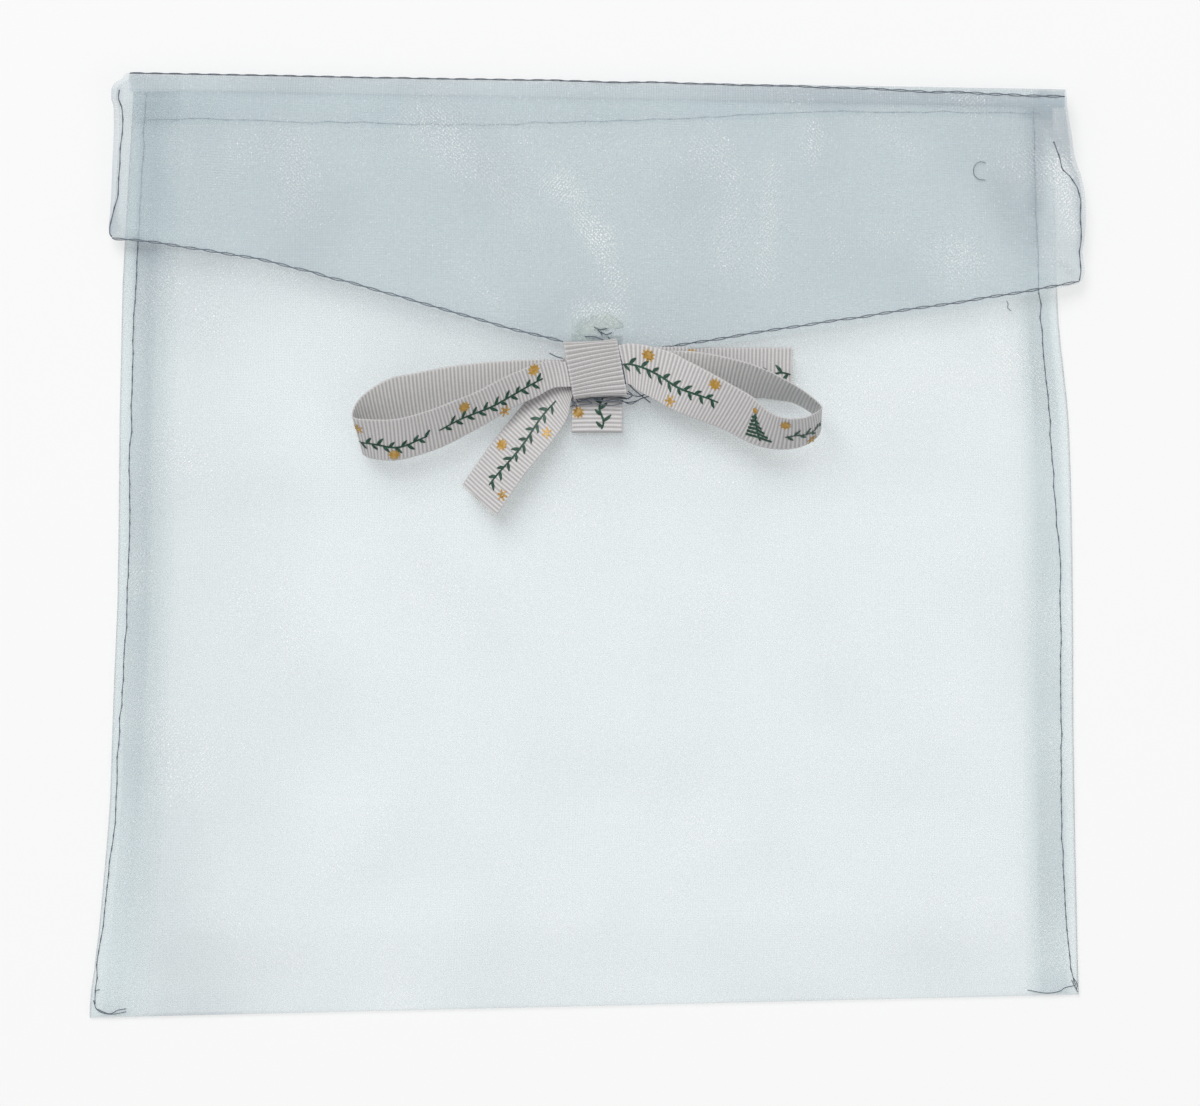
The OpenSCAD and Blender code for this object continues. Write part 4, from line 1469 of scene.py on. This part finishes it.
@dataclass
class Ribbon:
    """Length of ribbon that is swept along stations of centre, heading, tilt and width.

    Attributes:
        stations: Rows of X, Y, Z, heading and tilt in degrees, and width.
        closed: Whether the last station joins the first.
        outer: 1 if the printed face is on the side of the sweep's normal, -1 if on the other.
        thickness: Thickness between the ribs' crests.
        rib: Distance between the ribs.
        rib_h: Height of a rib.
        groove_w: How sharp the grooves are; below 1 they are wide.
        sag: How far the middle of a rib runs ahead of its ends.
        bulge: How far the middle stands up above the edges.
        sink_and_shade: How far the whole weave sinks to the grooves' depth and takes their painted
        shade, as on the band pulled tight round the knot.
        steps: Rings for each rib.
        profile: Half of the ring: place across, share of the ribs' depth and of the thickness.
    """

    stations: Sequence[Point]
    closed: bool = False
    outer: int = 1
    thickness: float = 0.4
    rib: float = 0.75
    rib_h: float = 0.12
    groove_w: float = 1.0
    sag: float = 0.1
    bulge: float = 0.0
    sink_and_shade: float = 0.0
    steps: int = 6
    profile: Sequence[Point] = (
        (1.0, 0.4, 0.55), (0.965, 0.8, 0.9), (0.91, 1.0, 1.0), (0.45, 1.0, 1.0), (0.0, 1.0, 1.0),
        (-0.45, 1.0, 1.0), (-0.91, 1.0, 1.0), (-0.965, 0.8, 0.9), (-1.0, 0.4, 0.55),
    )

    def __post_init__(self) -> None:
        """Samples the sweep finely and measures its length."""
        rows = np.asarray(self.stations, dtype=float)
        ends = (rows[-1:], rows[:2]) if self.closed else (rows[:1], rows[-1:])
        padded = np.vstack([ends[0], rows, ends[1]])
        spans = len(padded) - 3
        fine = [catmull(padded, i, k / 24) for i in range(spans) for k in range(24)]
        self.fine = np.array([*fine, rows[0] if self.closed else rows[-1]])
        steps = np.linalg.norm(np.diff(self.fine[:, :3], axis=0), axis=1)
        self.along = np.concatenate([[0], np.cumsum(steps)])
        self.length = float(self.along[-1])

    def frames(self, s: Array) -> tuple[Array, Array, Array, Array, Array]:
        """Sweep at the given lengths along it.

        Args:
            s: Lengths from the start.

        Returns:
            Centres, directions ahead, across and out of the face, and widths.
        """

        def at(v: Array) -> Array:
            """Rows of the sweep at lengths v."""
            v = np.mod(v, self.length) if self.closed else v
            return np.stack([np.interp(v, self.along, self.fine[:, k]) for k in range(6)], axis=-1)

        here = at(s)
        ahead = (at(s + 0.25) - at(s - 0.25))[..., :3]
        heading, tilt = np.radians(here[..., 3]), np.radians(here[..., 4])
        across = np.stack(
            [np.sin(heading) * np.cos(tilt), np.cos(heading) * np.cos(tilt), np.sin(tilt)], axis=-1
        )
        return here[..., :3], units(ahead), across, units(np.cross(ahead, across)), here[..., 5]

    def place(self, s: Array, w: Array, lift: float) -> Array:
        """Points on the printed face.

        Args:
            s: Lengths from the start.
            w: Distances across from the middle.
            lift: Height above the crests of the ribs.

        Returns:
            Points in millimetres.
        """
        centre, _, across, normal, _ = self.frames(s)
        out = (self.thickness / 2 + lift) * self.outer
        return centre + across * np.asarray(w)[..., None] + normal * out

    def piece(self, name: str, material: Material) -> Piece:
        """Builds the ribbon with its ribs and selvages.

        Args:
            name: Name of the piece.
            material: Its finish.

        Returns:
            The piece.
        """
        ribs = max(4, round(self.length / self.rib))
        count = ribs * self.steps + (0 if self.closed else 1)
        s = np.linspace(0, self.length, count, endpoint=not self.closed)
        centre, ahead, across, normal, width = (part[:, None] for part in self.frames(s))
        beat = np.cos(2 * math.pi * np.arange(count) / self.steps)[:, None]
        groove = (0.5 - 0.5 * beat) ** self.groove_w + self.sink_and_shade
        shares, ribbed, selvage = np.array(self.profile).T
        half = width / 2 + 0.08 * np.maximum(beat, 0)
        thick = self.thickness / 2 * selvage - self.rib_h * groove * ribbed
        base = centre + across * (half * shares)[..., None]
        base = base + ahead * (self.sag * (1 - shares**2))[None, :, None]
        base = base + normal * (self.bulge * (1 - shares**4))[None, :, None]
        out = normal * thick[..., None]
        ring = np.concatenate([base + out, (base - out)[:, ::-1]], axis=1)
        cols = ring.shape[1]
        faces = [(face[0], *face[:0:-1]) for face in grid_faces(count, cols, self.closed, True)]
        if not self.closed:
            faces.append(tuple(range(cols)))
            faces.append(tuple((count - 1) * cols + c for c in range(cols - 1, -1, -1)))
        inner = np.repeat([0.0, 1.0] if self.outer > 0 else [1.0, 0.0], len(shares))
        # The groove mark paints shade in the grooves and along the selvages, and over the whole
        # weave on a ribbon set to sink.
        sunk = np.maximum(groove * ribbed, (1 - ribbed) * 0.8)
        marks = {
            "inner": np.tile(inner, count),
            "groove": np.concatenate([sunk, sunk[:, ::-1]], axis=1).ravel(),
        }
        w = np.concatenate([shares, shares[::-1]])[None] * half
        uv = np.stack([np.broadcast_to(s[:, None], w.shape), w], axis=-1).reshape(-1, 2)
        return make_piece(name, ring.reshape(-1, 3), faces, material, uv, marks)


@dataclass
class PrintRow:
    """Prints laid on a ribbon's face: green sprigs, gold flakes and a small fir tree.

    Attributes:
        ribbon: Ribbon that carries them.
        lift: Height above the ribs' crests.
        green: Bag of the green shapes.
        gold: Bag of the gold shapes.
    """

    ribbon: Ribbon
    lift: float = 0.03
    green: MeshBag = field(default_factory=MeshBag)
    gold: MeshBag = field(default_factory=MeshBag)

    def stroke(self, bag: MeshBag, line: Sequence[Point], width: object) -> None:
        """Adds a stroke of ink.

        Args:
            bag: Bag to add it to.
            line: Points along the ribbon and across it.
            width: Width of the stroke, or one for each point.
        """
        line = np.asarray(line, dtype=float)
        ahead = units(np.gradient(line, axis=0))
        half = np.broadcast_to(width, len(line))[:, None] / 2
        side = np.stack([-ahead[:, 1], ahead[:, 0]], axis=1) * half
        flat = np.stack([line + side, line - side], axis=1).reshape(-1, 2)
        faces = grid_faces(len(line), 2)
        if self.ribbon.outer < 0:
            faces = [face[::-1] for face in faces]
        bag.add(self.ribbon.place(flat[:, 0], flat[:, 1], self.lift), faces)

    def sprig(self, s: float, w: float, length: float) -> None:
        """Adds a green sprig that runs along the ribbon.

        Args:
            s: Length along the ribbon where it starts.
            w: Distance across.
            length: Its length.
        """
        t = np.linspace(0, 1, 21)
        stem = np.stack([s + t * length, w + 0.4 * np.sin(t * 2.5 * math.pi)], axis=1)
        self.stroke(self.green, stem, 0.32 + 0.12 * np.sin(t * math.pi))
        k = np.linspace(0, 1, 7)[:, None]
        leaf_w = 0.16 + 0.52 * np.sin(np.linspace(0.1, 0.97, 7) * math.pi)
        for i, at in enumerate(np.arange(0.06, 0.98, 1.2 / length)):
            side = 1 if i % 2 else -1
            root = np.array([s + at * length, w + 0.4 * math.sin(at * 2.5 * math.pi)])
            size = (1.75 - 0.3 * at) * (0.85 + 0.35 * (i * 0.618 % 1))
            leaf = root + k * size * np.array([0.5, side * 0.86]) + k**2 * np.array([0.35, 0])
            self.stroke(self.green, leaf, leaf_w)

    def flake(self, s: float, w: float, size: float, turn: float, full: bool) -> None:
        """Adds a gold flake with six arms, or a rounder one with nine short points.

        Args:
            s: Length along the ribbon.
            w: Distance across.
            size: Length of an arm.
            turn: Turn in degrees.
            full: Whether it is the round one.
        """
        count, reach = (9, 0.6) if full else (6, 0.3)
        middle = np.array([s, w])
        for arm in range(count):
            angle = math.radians(360 / count * arm + turn)
            way = np.array([math.cos(angle), math.sin(angle)])
            k = np.linspace(0.12, 1, 5)[:, None]
            self.stroke(self.gold, middle + way * k * size, [0.2, 0.36, 0.32, 0.4, 0.22])
        ring = np.linspace(0, 2 * math.pi, 13)
        circle = middle + reach * size * np.stack([np.cos(ring), np.sin(ring)], axis=1)
        self.stroke(self.gold, circle, 0.34)
        if full:
            self.stroke(self.gold, [(s - 0.2, w), (s, w), (s + 0.2, w)], 0.3)

    def fir(self, s: float, w: float, height: float, lean: float) -> None:
        """Adds a fir tree that stands across the ribbon, with a gold star on it.

        Args:
            s: Length along the ribbon.
            w: Distance across of its foot.
            height: Its height.
            lean: How far its top stands further along the ribbon.
        """
        k = np.linspace(-1, 1, 9)
        for tier in range(6):
            share, reach = 0.14 + 0.14 * tier, 2.5 - 0.4 * tier
            level = w + height * share - 0.55 * np.abs(k) + 0.25 * k
            self.stroke(self.green, np.stack([s + lean * share + k * reach, level], axis=1), 0.6)
        trunk = [(s + lean * share, w + height * share) for share in (0, 0.3, 0.6, 0.92)]
        self.stroke(self.green, trunk, 0.4)
        self.flake(s + lean, w + height * 1.02, 0.6, 30, True)

    def pieces(self, name: str, finishes: Finishes) -> None:
        """Makes the prints pieces of their own.

        Args:
            name: Name of the ribbon.
            finishes: The finishes.
        """
        for bag, ink, material in (
            (self.green, "green", finishes.green), (self.gold, "gold", finishes.gold)
        ):
            settle(bag.piece(f"{name}_{ink}_print", material), Body.FLAP)


# ---- Bow


@dataclass
class Bow:
    """Ribbon bow: tab, tails, one length of loops, a band round the knot and the tacks.

    Attributes:
        shape: Places shared with the flap.
        finishes: The finishes.
        width: Width of the ribbon.
        knot_x: Middle of the knot.
        knot_y: Middle of the knot.
        knot_z: Middle of the knot.
        floor_z: Height of the bow's lowest point.
        bow_h: Height of the bow above it.
        lean: Lean of the knot, in degrees.
        layer: Distance between the layers in the knot.
        exit: Distance from the middle of the knot to where the ribbons leave it.
        band_l: Length of the band round the knot, seen from above.
        band_h: Height of the band.
        right_top: Top of the right loop. Each row holds the place in shares of the reach, the
            height in shares of the bow's, heading, tilt and width share.
        right_back: Back of the right loop.
        left_back: Back of the left loop.
        left_top: Top of the left loop.
        right_tail: Right tail.
        left_tail: Left tail.
        tack_lines: Points of each hand stitch.
        loop_flakes: Places of the flakes along and across the loops.
        tail_flakes: Places of the flakes on the tails.
    """

    shape: Outline
    finishes: Finishes
    width: float = 10.0
    knot_x: float = 1.386
    knot_y: float = 34.526
    knot_z: float = 9.15
    floor_z: float = 5.9
    bow_h: float = 10.0
    lean: float = 10.5
    layer: float = 0.9
    exit: float = 5.3
    band_l: float = 11.6
    band_h: float = 3.1
    right_top: Sequence[Point] = (
        (0.18, 0.01, 0.45, 2, 4, 0.9), (0.29, -0.03, 0.53, 15, 6, 1),
        (0.37, -0.073, 0.61, 22, 8, 1), (0.53, -0.15, 0.8, 28, 29, 1),
        (0.63, -0.2, 0.93, 30, 36, 1), (0.73, -0.266, 1.05, 22, 47, 1),
        (0.82, -0.29, 1.09, 7, 53, 1), (0.91, -0.282, 1.05, -6, 58, 1),
        (0.98, -0.24, 0.82, -12, 66, 1),
    )
    right_back: Sequence[Point] = (
        (0.985, -0.19, 0.58, 6, 76, 1), (0.9, -0.125, 0.51, 22, 75, 1),
        (0.82, -0.093, 0.49, 22, 67, 1), (0.74, -0.066, 0.45, 18, 59, 1),
        (0.655, -0.045, 0.405, 13, 51, 1), (0.53, -0.03, 0.35, 8, 38, 1),
        (0.43, -0.025, 0.295, 5, 24, 1), (0.27, -0.01, 0.3, 2, 8, 0.85),
    )
    left_back: Sequence[Point] = (
        (-0.18, -0.011, 0.26, -3, 4, 0.5), (-0.35, -0.055, 0.25, -4, 9, 0.88),
        (-0.49, -0.076, 0.24, -4, 15, 1), (-0.62, -0.09, 0.235, -5, 20, 1),
        (-0.745, -0.113, 0.245, -6, 23, 1), (-0.835, -0.13, 0.26, -9, 25, 1),
        (-0.912, -0.17, 0.295, -12, 29, 1), (-0.967, -0.215, 0.36, -14, 35, 1),
    )
    left_top: Sequence[Point] = (
        (-0.99, -0.262, 0.49, -15, 42, 1), (-0.975, -0.284, 0.61, -12, 42, 1),
        (-0.905, -0.294, 0.74, -5, 39, 1), (-0.81, -0.291, 0.79, -3, 38, 1),
        (-0.67, -0.25, 0.79, -11, 40, 0.98), (-0.57, -0.206, 0.765, -15, 41, 0.92),
        (-0.465, -0.155, 0.71, -18, 38, 0.8), (-0.37, -0.1, 0.645, -19, 34, 0.72),
        (-0.27, -0.055, 0.56, -17, 26, 0.66), (-0.19, -0.022, 0.49, -13, 16, 0.56),
    )
    right_tail: Sequence[Point] = (
        (1, -0.015, 0, 0, 0, 1), (0.75, -0.015, 0.005, 0, 0, 1), (0.54, -0.015, 0.04, 0, 0, 1),
        (0.36, -0.012, 0.155, 0, 0, 1), (0.22, 0, 0.2, -3, 0, 0.88),
    )
    left_tail: Sequence[Point] = (
        (-0.24, -0.17, 0.17, -34, -5, 0.88), (-0.36, -0.33, 0.185, -46, -18, 0.96),
        (-0.5, -0.5, 0.235, -48, -26, 1), (-0.67, -0.745, 0.225, -48, -24, 1),
    )
    loop_flakes: Table = (
        (15.5, 2.9), (22.2, -3.7), (29.2, 3.4), (46.3, 2.9), (51.9, -4.0), (62.0, 3.0),
        (72.0, -3.0), (156.8, 2.4), (163.7, -3.5), (179.1, 2.2), (186.6, -3.4), (194.7, 2.3),
    )
    tail_flakes: Table = ((20.0, 3.6), (56.4, -2.9), (64.3, 2.9), (71.7, -3.7))
    tack_lines: Sequence[Sequence[Point]] = (
        ((0.8, 43.0, 7.2), (2.0, 42.5, 7.5), (3.4, 42.7, 7.2)),
        ((2.2, 42.0, 7.2), (3.2, 41.5, 7.5), (4.4, 41.9, 7.2)),
        ((1.6, 42.4, 7.3), (2.1, 41.9, 7.5), (2.4, 41.4, 7.3)),
        ((-8.0, 37.7, 9.6), (-6.6, 37.0, 9.9), (-5.4, 36.7, 9.4)),
        ((-1.0, 41.1, 7.5), (1.0, 41.0, 7.9), (3.2, 40.2, 7.6)),
        ((-4.0, 28.7, 7.6), (-3.0, 28.0, 8.2), (-2.6, 27.2, 7.4)),
        ((-3.6, 28.4, 7.8), (-3.2, 27.6, 8.3), (-3.9, 27.2, 7.6), (-3.0, 27.5, 7.2)),
        ((0.0, 28.9, 8.4), (3.0, 29.0, 8.5), (5.4, 29.2, 8.2), (7.8, 28.7, 7.6)),
        ((-3.4, 29.2, 8.2), (-1.5, 28.5, 8.5), (0.6, 28.9, 8.4), (2.6, 28.4, 8.3)),
        ((7.6, 31.7, 9.2), (9.0, 30.3, 8.2), (12.0, 28.0, 6.6)),
        ((2.6, 28.2, 8.1), (5.0, 28.6, 8.3), (7.4, 28.0, 7.4), (9.6, 28.4, 6.4)),
        ((4.6, 29.3, 8.6), (7.0, 28.7, 8.0), (8.4, 29.4, 7.4), (7.6, 30.2, 8.0)),
        ((6.2, 28.4, 8.0), (8.2, 27.7, 7.0), (10.4, 28.9, 6.5), (13.0, 29.4, 6.3)),
        ((-2.8, 28.8, 8.1), (-2.2, 28.2, 8.3), (-0.8, 28.4, 8.4), (0.4, 27.9, 8.0)),
        ((7.2, 29.8, 8.4), (9.6, 29.2, 7.4), (11.4, 29.9, 6.5)),
        ((3.6, 41.0, 7.9), (5.3, 38.9, 9.8), (6.4, 35.4, 10.6), (7.1, 31.6, 10.4)),
        ((-2.6, 28.1, 8.5), (0.4, 28.5, 8.8), (3.4, 28.2, 8.8), (6.6, 28.4, 8.3)),
        ((-2.2, 27.5, 8.3), (1.0, 27.7, 8.5), (4.0, 27.4, 8.5), (6.4, 27.8, 8.1)),
    )

    def stations(self, rows: Sequence[Point], reach: float) -> list[tuple[float, ...]]:
        """Stations of a table whose places are shares of the reach.

        Args:
            rows: The table.
            reach: Length of the loop or tail from the knot.

        Returns:
            The stations.
        """
        return [
            (
                self.knot_x + x * reach, self.knot_y + y * reach,
                self.floor_z + 0.2 + z * self.bow_h, heading, tilt, self.width * w,
            )
            for x, y, z, heading, tilt, w in rows
        ]

    def through_knot(self, layer: int, way: int, shares: Point) -> list[tuple[float, ...]]:
        """Stations straight through the knot, along its lean.

        Args:
            layer: Place in the stack, from -1 to 1.
            way: 1 to the right and -1 to the left.
            shares: Share of the ribbon's width at each station.

        Returns:
            The stations.
        """
        lean = math.radians(self.lean)
        ahead_x, ahead_y = way * math.cos(lean), way * math.sin(lean)
        return [
            (
                self.knot_x + along * ahead_x, self.knot_y + along * ahead_y,
                self.knot_z + layer * self.layer, -self.lean, 0, self.width * share,
            )
            for along, share in zip((-self.exit, 0.0, self.exit), shares)
        ]

    def lay(self, name: str, ribbon: Ribbon) -> Ribbon:
        """Makes a ribbon one piece of the bow, which rides on the flap.

        Args:
            name: Name of the solid that it stands for.
            ribbon: The ribbon.

        Returns:
            The same ribbon.
        """
        piece = ribbon.piece(f"{name}_ribbon", self.finishes.ribbon)
        settle(piece, Body.FLAP, [name])
        return ribbon

    def loops(self) -> Ribbon:
        """Builds the loops, one closed length that the knot pinches in the middle.

        Returns:
            The ribbon.
        """
        stations = (
            self.through_knot(1, 1, (0.5, 0.66, 0.78))
            + self.stations(self.right_top, 44.6)
            + self.stations(self.right_back, 44.6)
            + self.through_knot(0, -1, (0.78, 0.7, 0.48))
            + self.stations(self.left_back, 47.8)
            + self.stations(self.left_top, 47.8)
        )
        return self.lay("bow_loops", Ribbon(stations, closed=True))

    def tails(self) -> Ribbon:
        """Builds the tails, one length behind the loops.

        Returns:
            The ribbon.
        """
        stations = (
            self.stations(self.right_tail, 38.8)
            + self.through_knot(-1, -1, (0.78, 0.78, 0.78))
            + self.stations(self.left_tail, 34.8)
        )
        return self.lay("bow_tails", Ribbon(stations, outer=-1))

    def knot(self) -> Ribbon:
        """Builds the band that is wrapped round the knot.

        Returns:
            The ribbon.
        """
        turn = math.radians(self.lean)
        flat = (self.band_l - self.band_h) / 2
        stations = []
        for part in np.linspace(0, 2 * math.pi, 28, endpoint=False):
            along, up = math.cos(part), math.sin(part)
            y = along * self.band_h / 2 + math.copysign(flat * min(1.0, abs(along) * 1.6), along)
            fan = 0.25 + 1.0 * (1 - (2 * y / self.band_l) ** 2)
            stations.append((
                self.knot_x - 0.34 - y * math.sin(turn), self.knot_y + 0.1 + y * math.cos(turn),
                self.knot_z + up * self.band_h / 2, -90 - self.lean * fan, 0, self.width * 1.05,
            ))
        # The band is darker all over: painted shade, with its weave sunk a little.
        return self.lay("knot_band", Ribbon(
            stations, closed=True, rib=0.82, sink_and_shade=0.17, rib_h=0.24, groove_w=0.5, sag=-0.15,
            bulge=0.35,
        ))

    def tab(self) -> Ribbon:
        """Builds the tab that carries the bow and ends in a fold below the knot.

        Returns:
            The ribbon.
        """
        rows = (
            (6.9, 0.2), (3.7, 0.2), (1.4, 0.9), (-3.4, 0.9), (-5.4, 0.3), (-11.2, 0.2),
            (-12.1, 0.26), (-12.4, 0.52), (-12.1, 0.78), (-11.2, 0.8), (-5.6, 0.82), (-4.4, 1.2),
        )
        stations = [
            (self.knot_x, self.knot_y + y, self.floor_z + z, 90, 0, self.width) for y, z in rows
        ]
        ribbon = Ribbon(stations, rib=0.85, outer=-1)
        return self.lay("bow_tab", ribbon)

    def tacks(self) -> Piece:
        """Builds the hand stitches that hold the knot to the tab.

        Returns:
            The piece.
        """
        bag = MeshBag()
        for line in self.tack_lines:
            bag.tube(wisp(line, 14), 0.11, 6)
        piece = bag.piece("bow_tack_stitches", self.finishes.thread)
        return settle(piece, Body.FLAP, ["bow_tack_thread"])

    def fray(self, tails: Ribbon) -> Piece:
        """Builds the loose yarns at the ribbon's cut ends.

        Args:
            tails: The tails, whose ends are cut.

        Returns:
            The piece.
        """
        pick = np.random.default_rng(41)
        bag = MeshBag()
        middle, top_y = self.knot_x, self.knot_y + 8.2
        for _ in range(80):
            left, right = pick.uniform(-5.2, -2.2), pick.uniform(1.2, 5.3)
            rise, low = pick.uniform(0.0, 3.2), pick.uniform(-3.8, 0.2)
            z = self.floor_z + pick.uniform(0.25, 0.6)
            line = (
                (left, low), (left * 0.5, low + rise * 0.8), (right * 0.4, rise),
                (right, rise * 0.3),
            )
            bag.tube(wisp([(middle + x, top_y + y, z) for x, y in line], 10), 0.1, 4)
        for _ in range(34):
            x, z = middle + pick.uniform(-4.6, 4.6), self.floor_z + pick.uniform(0.0, 0.45)
            tip = pick.normal(0, 0.7)
            end = (x + tip, top_y + pick.uniform(1.0, 3.0), z)
            bag.tube(wisp([(x, top_y - 0.5, z), end], 5), 0.06, 4)
        for s, way in ((0.0, -1), (tails.length, 1)):
            centre, ahead, across, normal, _ = (part[0] for part in tails.frames(np.array([s])))
            for w in np.linspace(-4.7, 4.7, 20):
                root = centre + across * w + normal * pick.uniform(-0.15, 0.15)
                out = ahead * way * pick.uniform(0.1, 0.7)
                bag.tube(np.array([root, root + out + across * pick.normal(0, 0.12)]), 0.06, 4)
        piece = bag.piece("ribbon_loose_yarns", self.finishes.yarn)
        return settle(piece, Body.FLAP)

    def prints(self, loops: Ribbon, tails: Ribbon, tab: Ribbon) -> None:
        """Lays the prints on the ribbons.

        Args:
            loops: The loops.
            tails: The tails.
            tab: The tab.
        """
        row = PrintRow(loops)
        for place in ((9.5, -0.2, 22), (46.5, -0.9, 9), (156, -1.4, 14.5), (173, -0.6, 23)):
            row.sprig(*place)
        row.fir(42.3, -3.3, 6.2, -3.4)
        for i, (s, w) in enumerate(self.loop_flakes):
            row.flake(s, w, 1.25, s * 17, full=i % 3 != 1)
        row.pieces("loops", self.finishes)
        row = PrintRow(tails)
        row.sprig(0.3, -0.4, 9)
        row.sprig(50.5, -0.4, 21.5)
        for i, (s, w) in enumerate(self.tail_flakes):
            row.flake(s, w, 1.2, s * 11, full=i % 2 == 0)
        row.pieces("tails", self.finishes)
        row = PrintRow(tab)
        row.sprig(20.4, 0.9, 7)
        row.flake(23.7, -3.7, 1.2, 20, True)
        row.pieces("tab", self.finishes)

    def build(self) -> None:
        """Builds all pieces of the bow."""
        tab, tails, loops = self.tab(), self.tails(), self.loops()
        self.knot()
        self.tacks()
        self.fray(tails)
        self.prints(loops, tails, tab)


# ---- Studio


@dataclass
class Studio:
    """Pale floor, soft lamps and a camera straight above.

    Attributes:
        view_w: Width of the frame on the object, in metres.
        centre: Place that the camera looks at, in metres.
        distance: Height of the camera, in metres.
        floor: Colour of the floor.
        glow: Share of that colour that the floor gives off by itself.
        world_light: Strength of the even light.
    """

    view_w: float = 0.24
    centre: tuple[float, float] = (0.002, -0.0019)
    distance: float = 1.1
    floor: str = "#F9F9F9"
    glow: float = 0.5
    world_light: float = 0.485

    def build_floor(self) -> Piece:
        """Builds the floor, which shows its own pale colour to the camera and keeps the shadow.

        Returns:
            The floor.
        """
        bpy.ops.object.select_all(action="DESELECT")
        bpy.ops.mesh.primitive_plane_add(size=4.0, location=(0, 0, -0.0001))
        floor = bpy.context.object
        floor.name = "studio_floor"
        material, tree, shader = new_material("floor_paper_matt")
        feed(shader, {"Base Color": linear(self.floor), "Roughness": 0.9})
        rays = add_node(tree, "LightPath").outputs
        seen: object = rays["Is Camera Ray"]
        for ray in ("Is Glossy Ray", "Is Transmission Ray"):
            seen = add_node(tree, "Math", {0: seen, 1: rays[ray]}, operation="MAXIMUM")
        share = add_node(tree, "Math", {0: seen, 1: self.glow}, operation="MULTIPLY")
        glow = add_node(tree, "Emission", {0: linear(self.floor), 1: 1.0})
        mix = add_node(tree, "MixShader", {0: share, 1: shader, 2: glow})
        feed(tree.nodes["Material Output"], {"Surface": mix})
        floor.data.materials.append(material)
        return floor

    def build_lamps(self) -> None:
        """Builds a large soft lamp, a fill lamp and the world's even light."""
        for name, place, size, power in (
            ("key_lamp", (-0.6, 1.35, 2.55), 1.4, 49.0), ("fill_lamp", (0.8, -0.6, 1.3), 0.8, 2.0),
        ):
            lamp = bpy.data.lights.new(name, "AREA")
            lamp.size, lamp.energy = size, power
            holder = bpy.data.objects.new(name, lamp)
            holder.location = place
            holder.rotation_euler = (-Vector(place)).to_track_quat("-Z", "Y").to_euler()
            bpy.context.scene.collection.objects.link(holder)
        world = bpy.data.worlds.new("studio_world")
        world.use_nodes = True
        light = world.node_tree.nodes["Background"]
        feed(light, {"Color": (1, 1, 1, 1), "Strength": self.world_light})
        bpy.context.scene.world = world

    def build_camera(self) -> None:
        """Builds the camera, straight above the envelope."""
        camera = bpy.data.cameras.new("camera")
        camera.sensor_width = 36.0
        camera.lens = 36.0 * self.distance / self.view_w
        camera.clip_start = 0.01
        holder = bpy.data.objects.new("camera", camera)
        holder.location = (*self.centre, self.distance)
        bpy.context.scene.collection.objects.link(holder)
        bpy.context.scene.camera = holder

    def build(self) -> None:
        """Builds the studio and sets the view."""
        self.build_floor()
        self.build_lamps()
        self.build_camera()
        scene = bpy.context.scene
        scene.view_settings.view_transform = "Standard"
        # Sheer plies lie on each other, so a ray passes through many of them.
        scene.cycles.transparent_max_bounces = 32


def main() -> None:
    """Builds the studio and the envelope."""
    logging.basicConfig(level=logging.INFO, format="%(message)s")
    Studio().build()
    shape = Outline()
    finishes = Finishes()
    Pocket(shape, finishes).build()
    Flap(shape, finishes).build()
    Bow(shape, finishes).build()


if __name__ == "__main__":
    main()
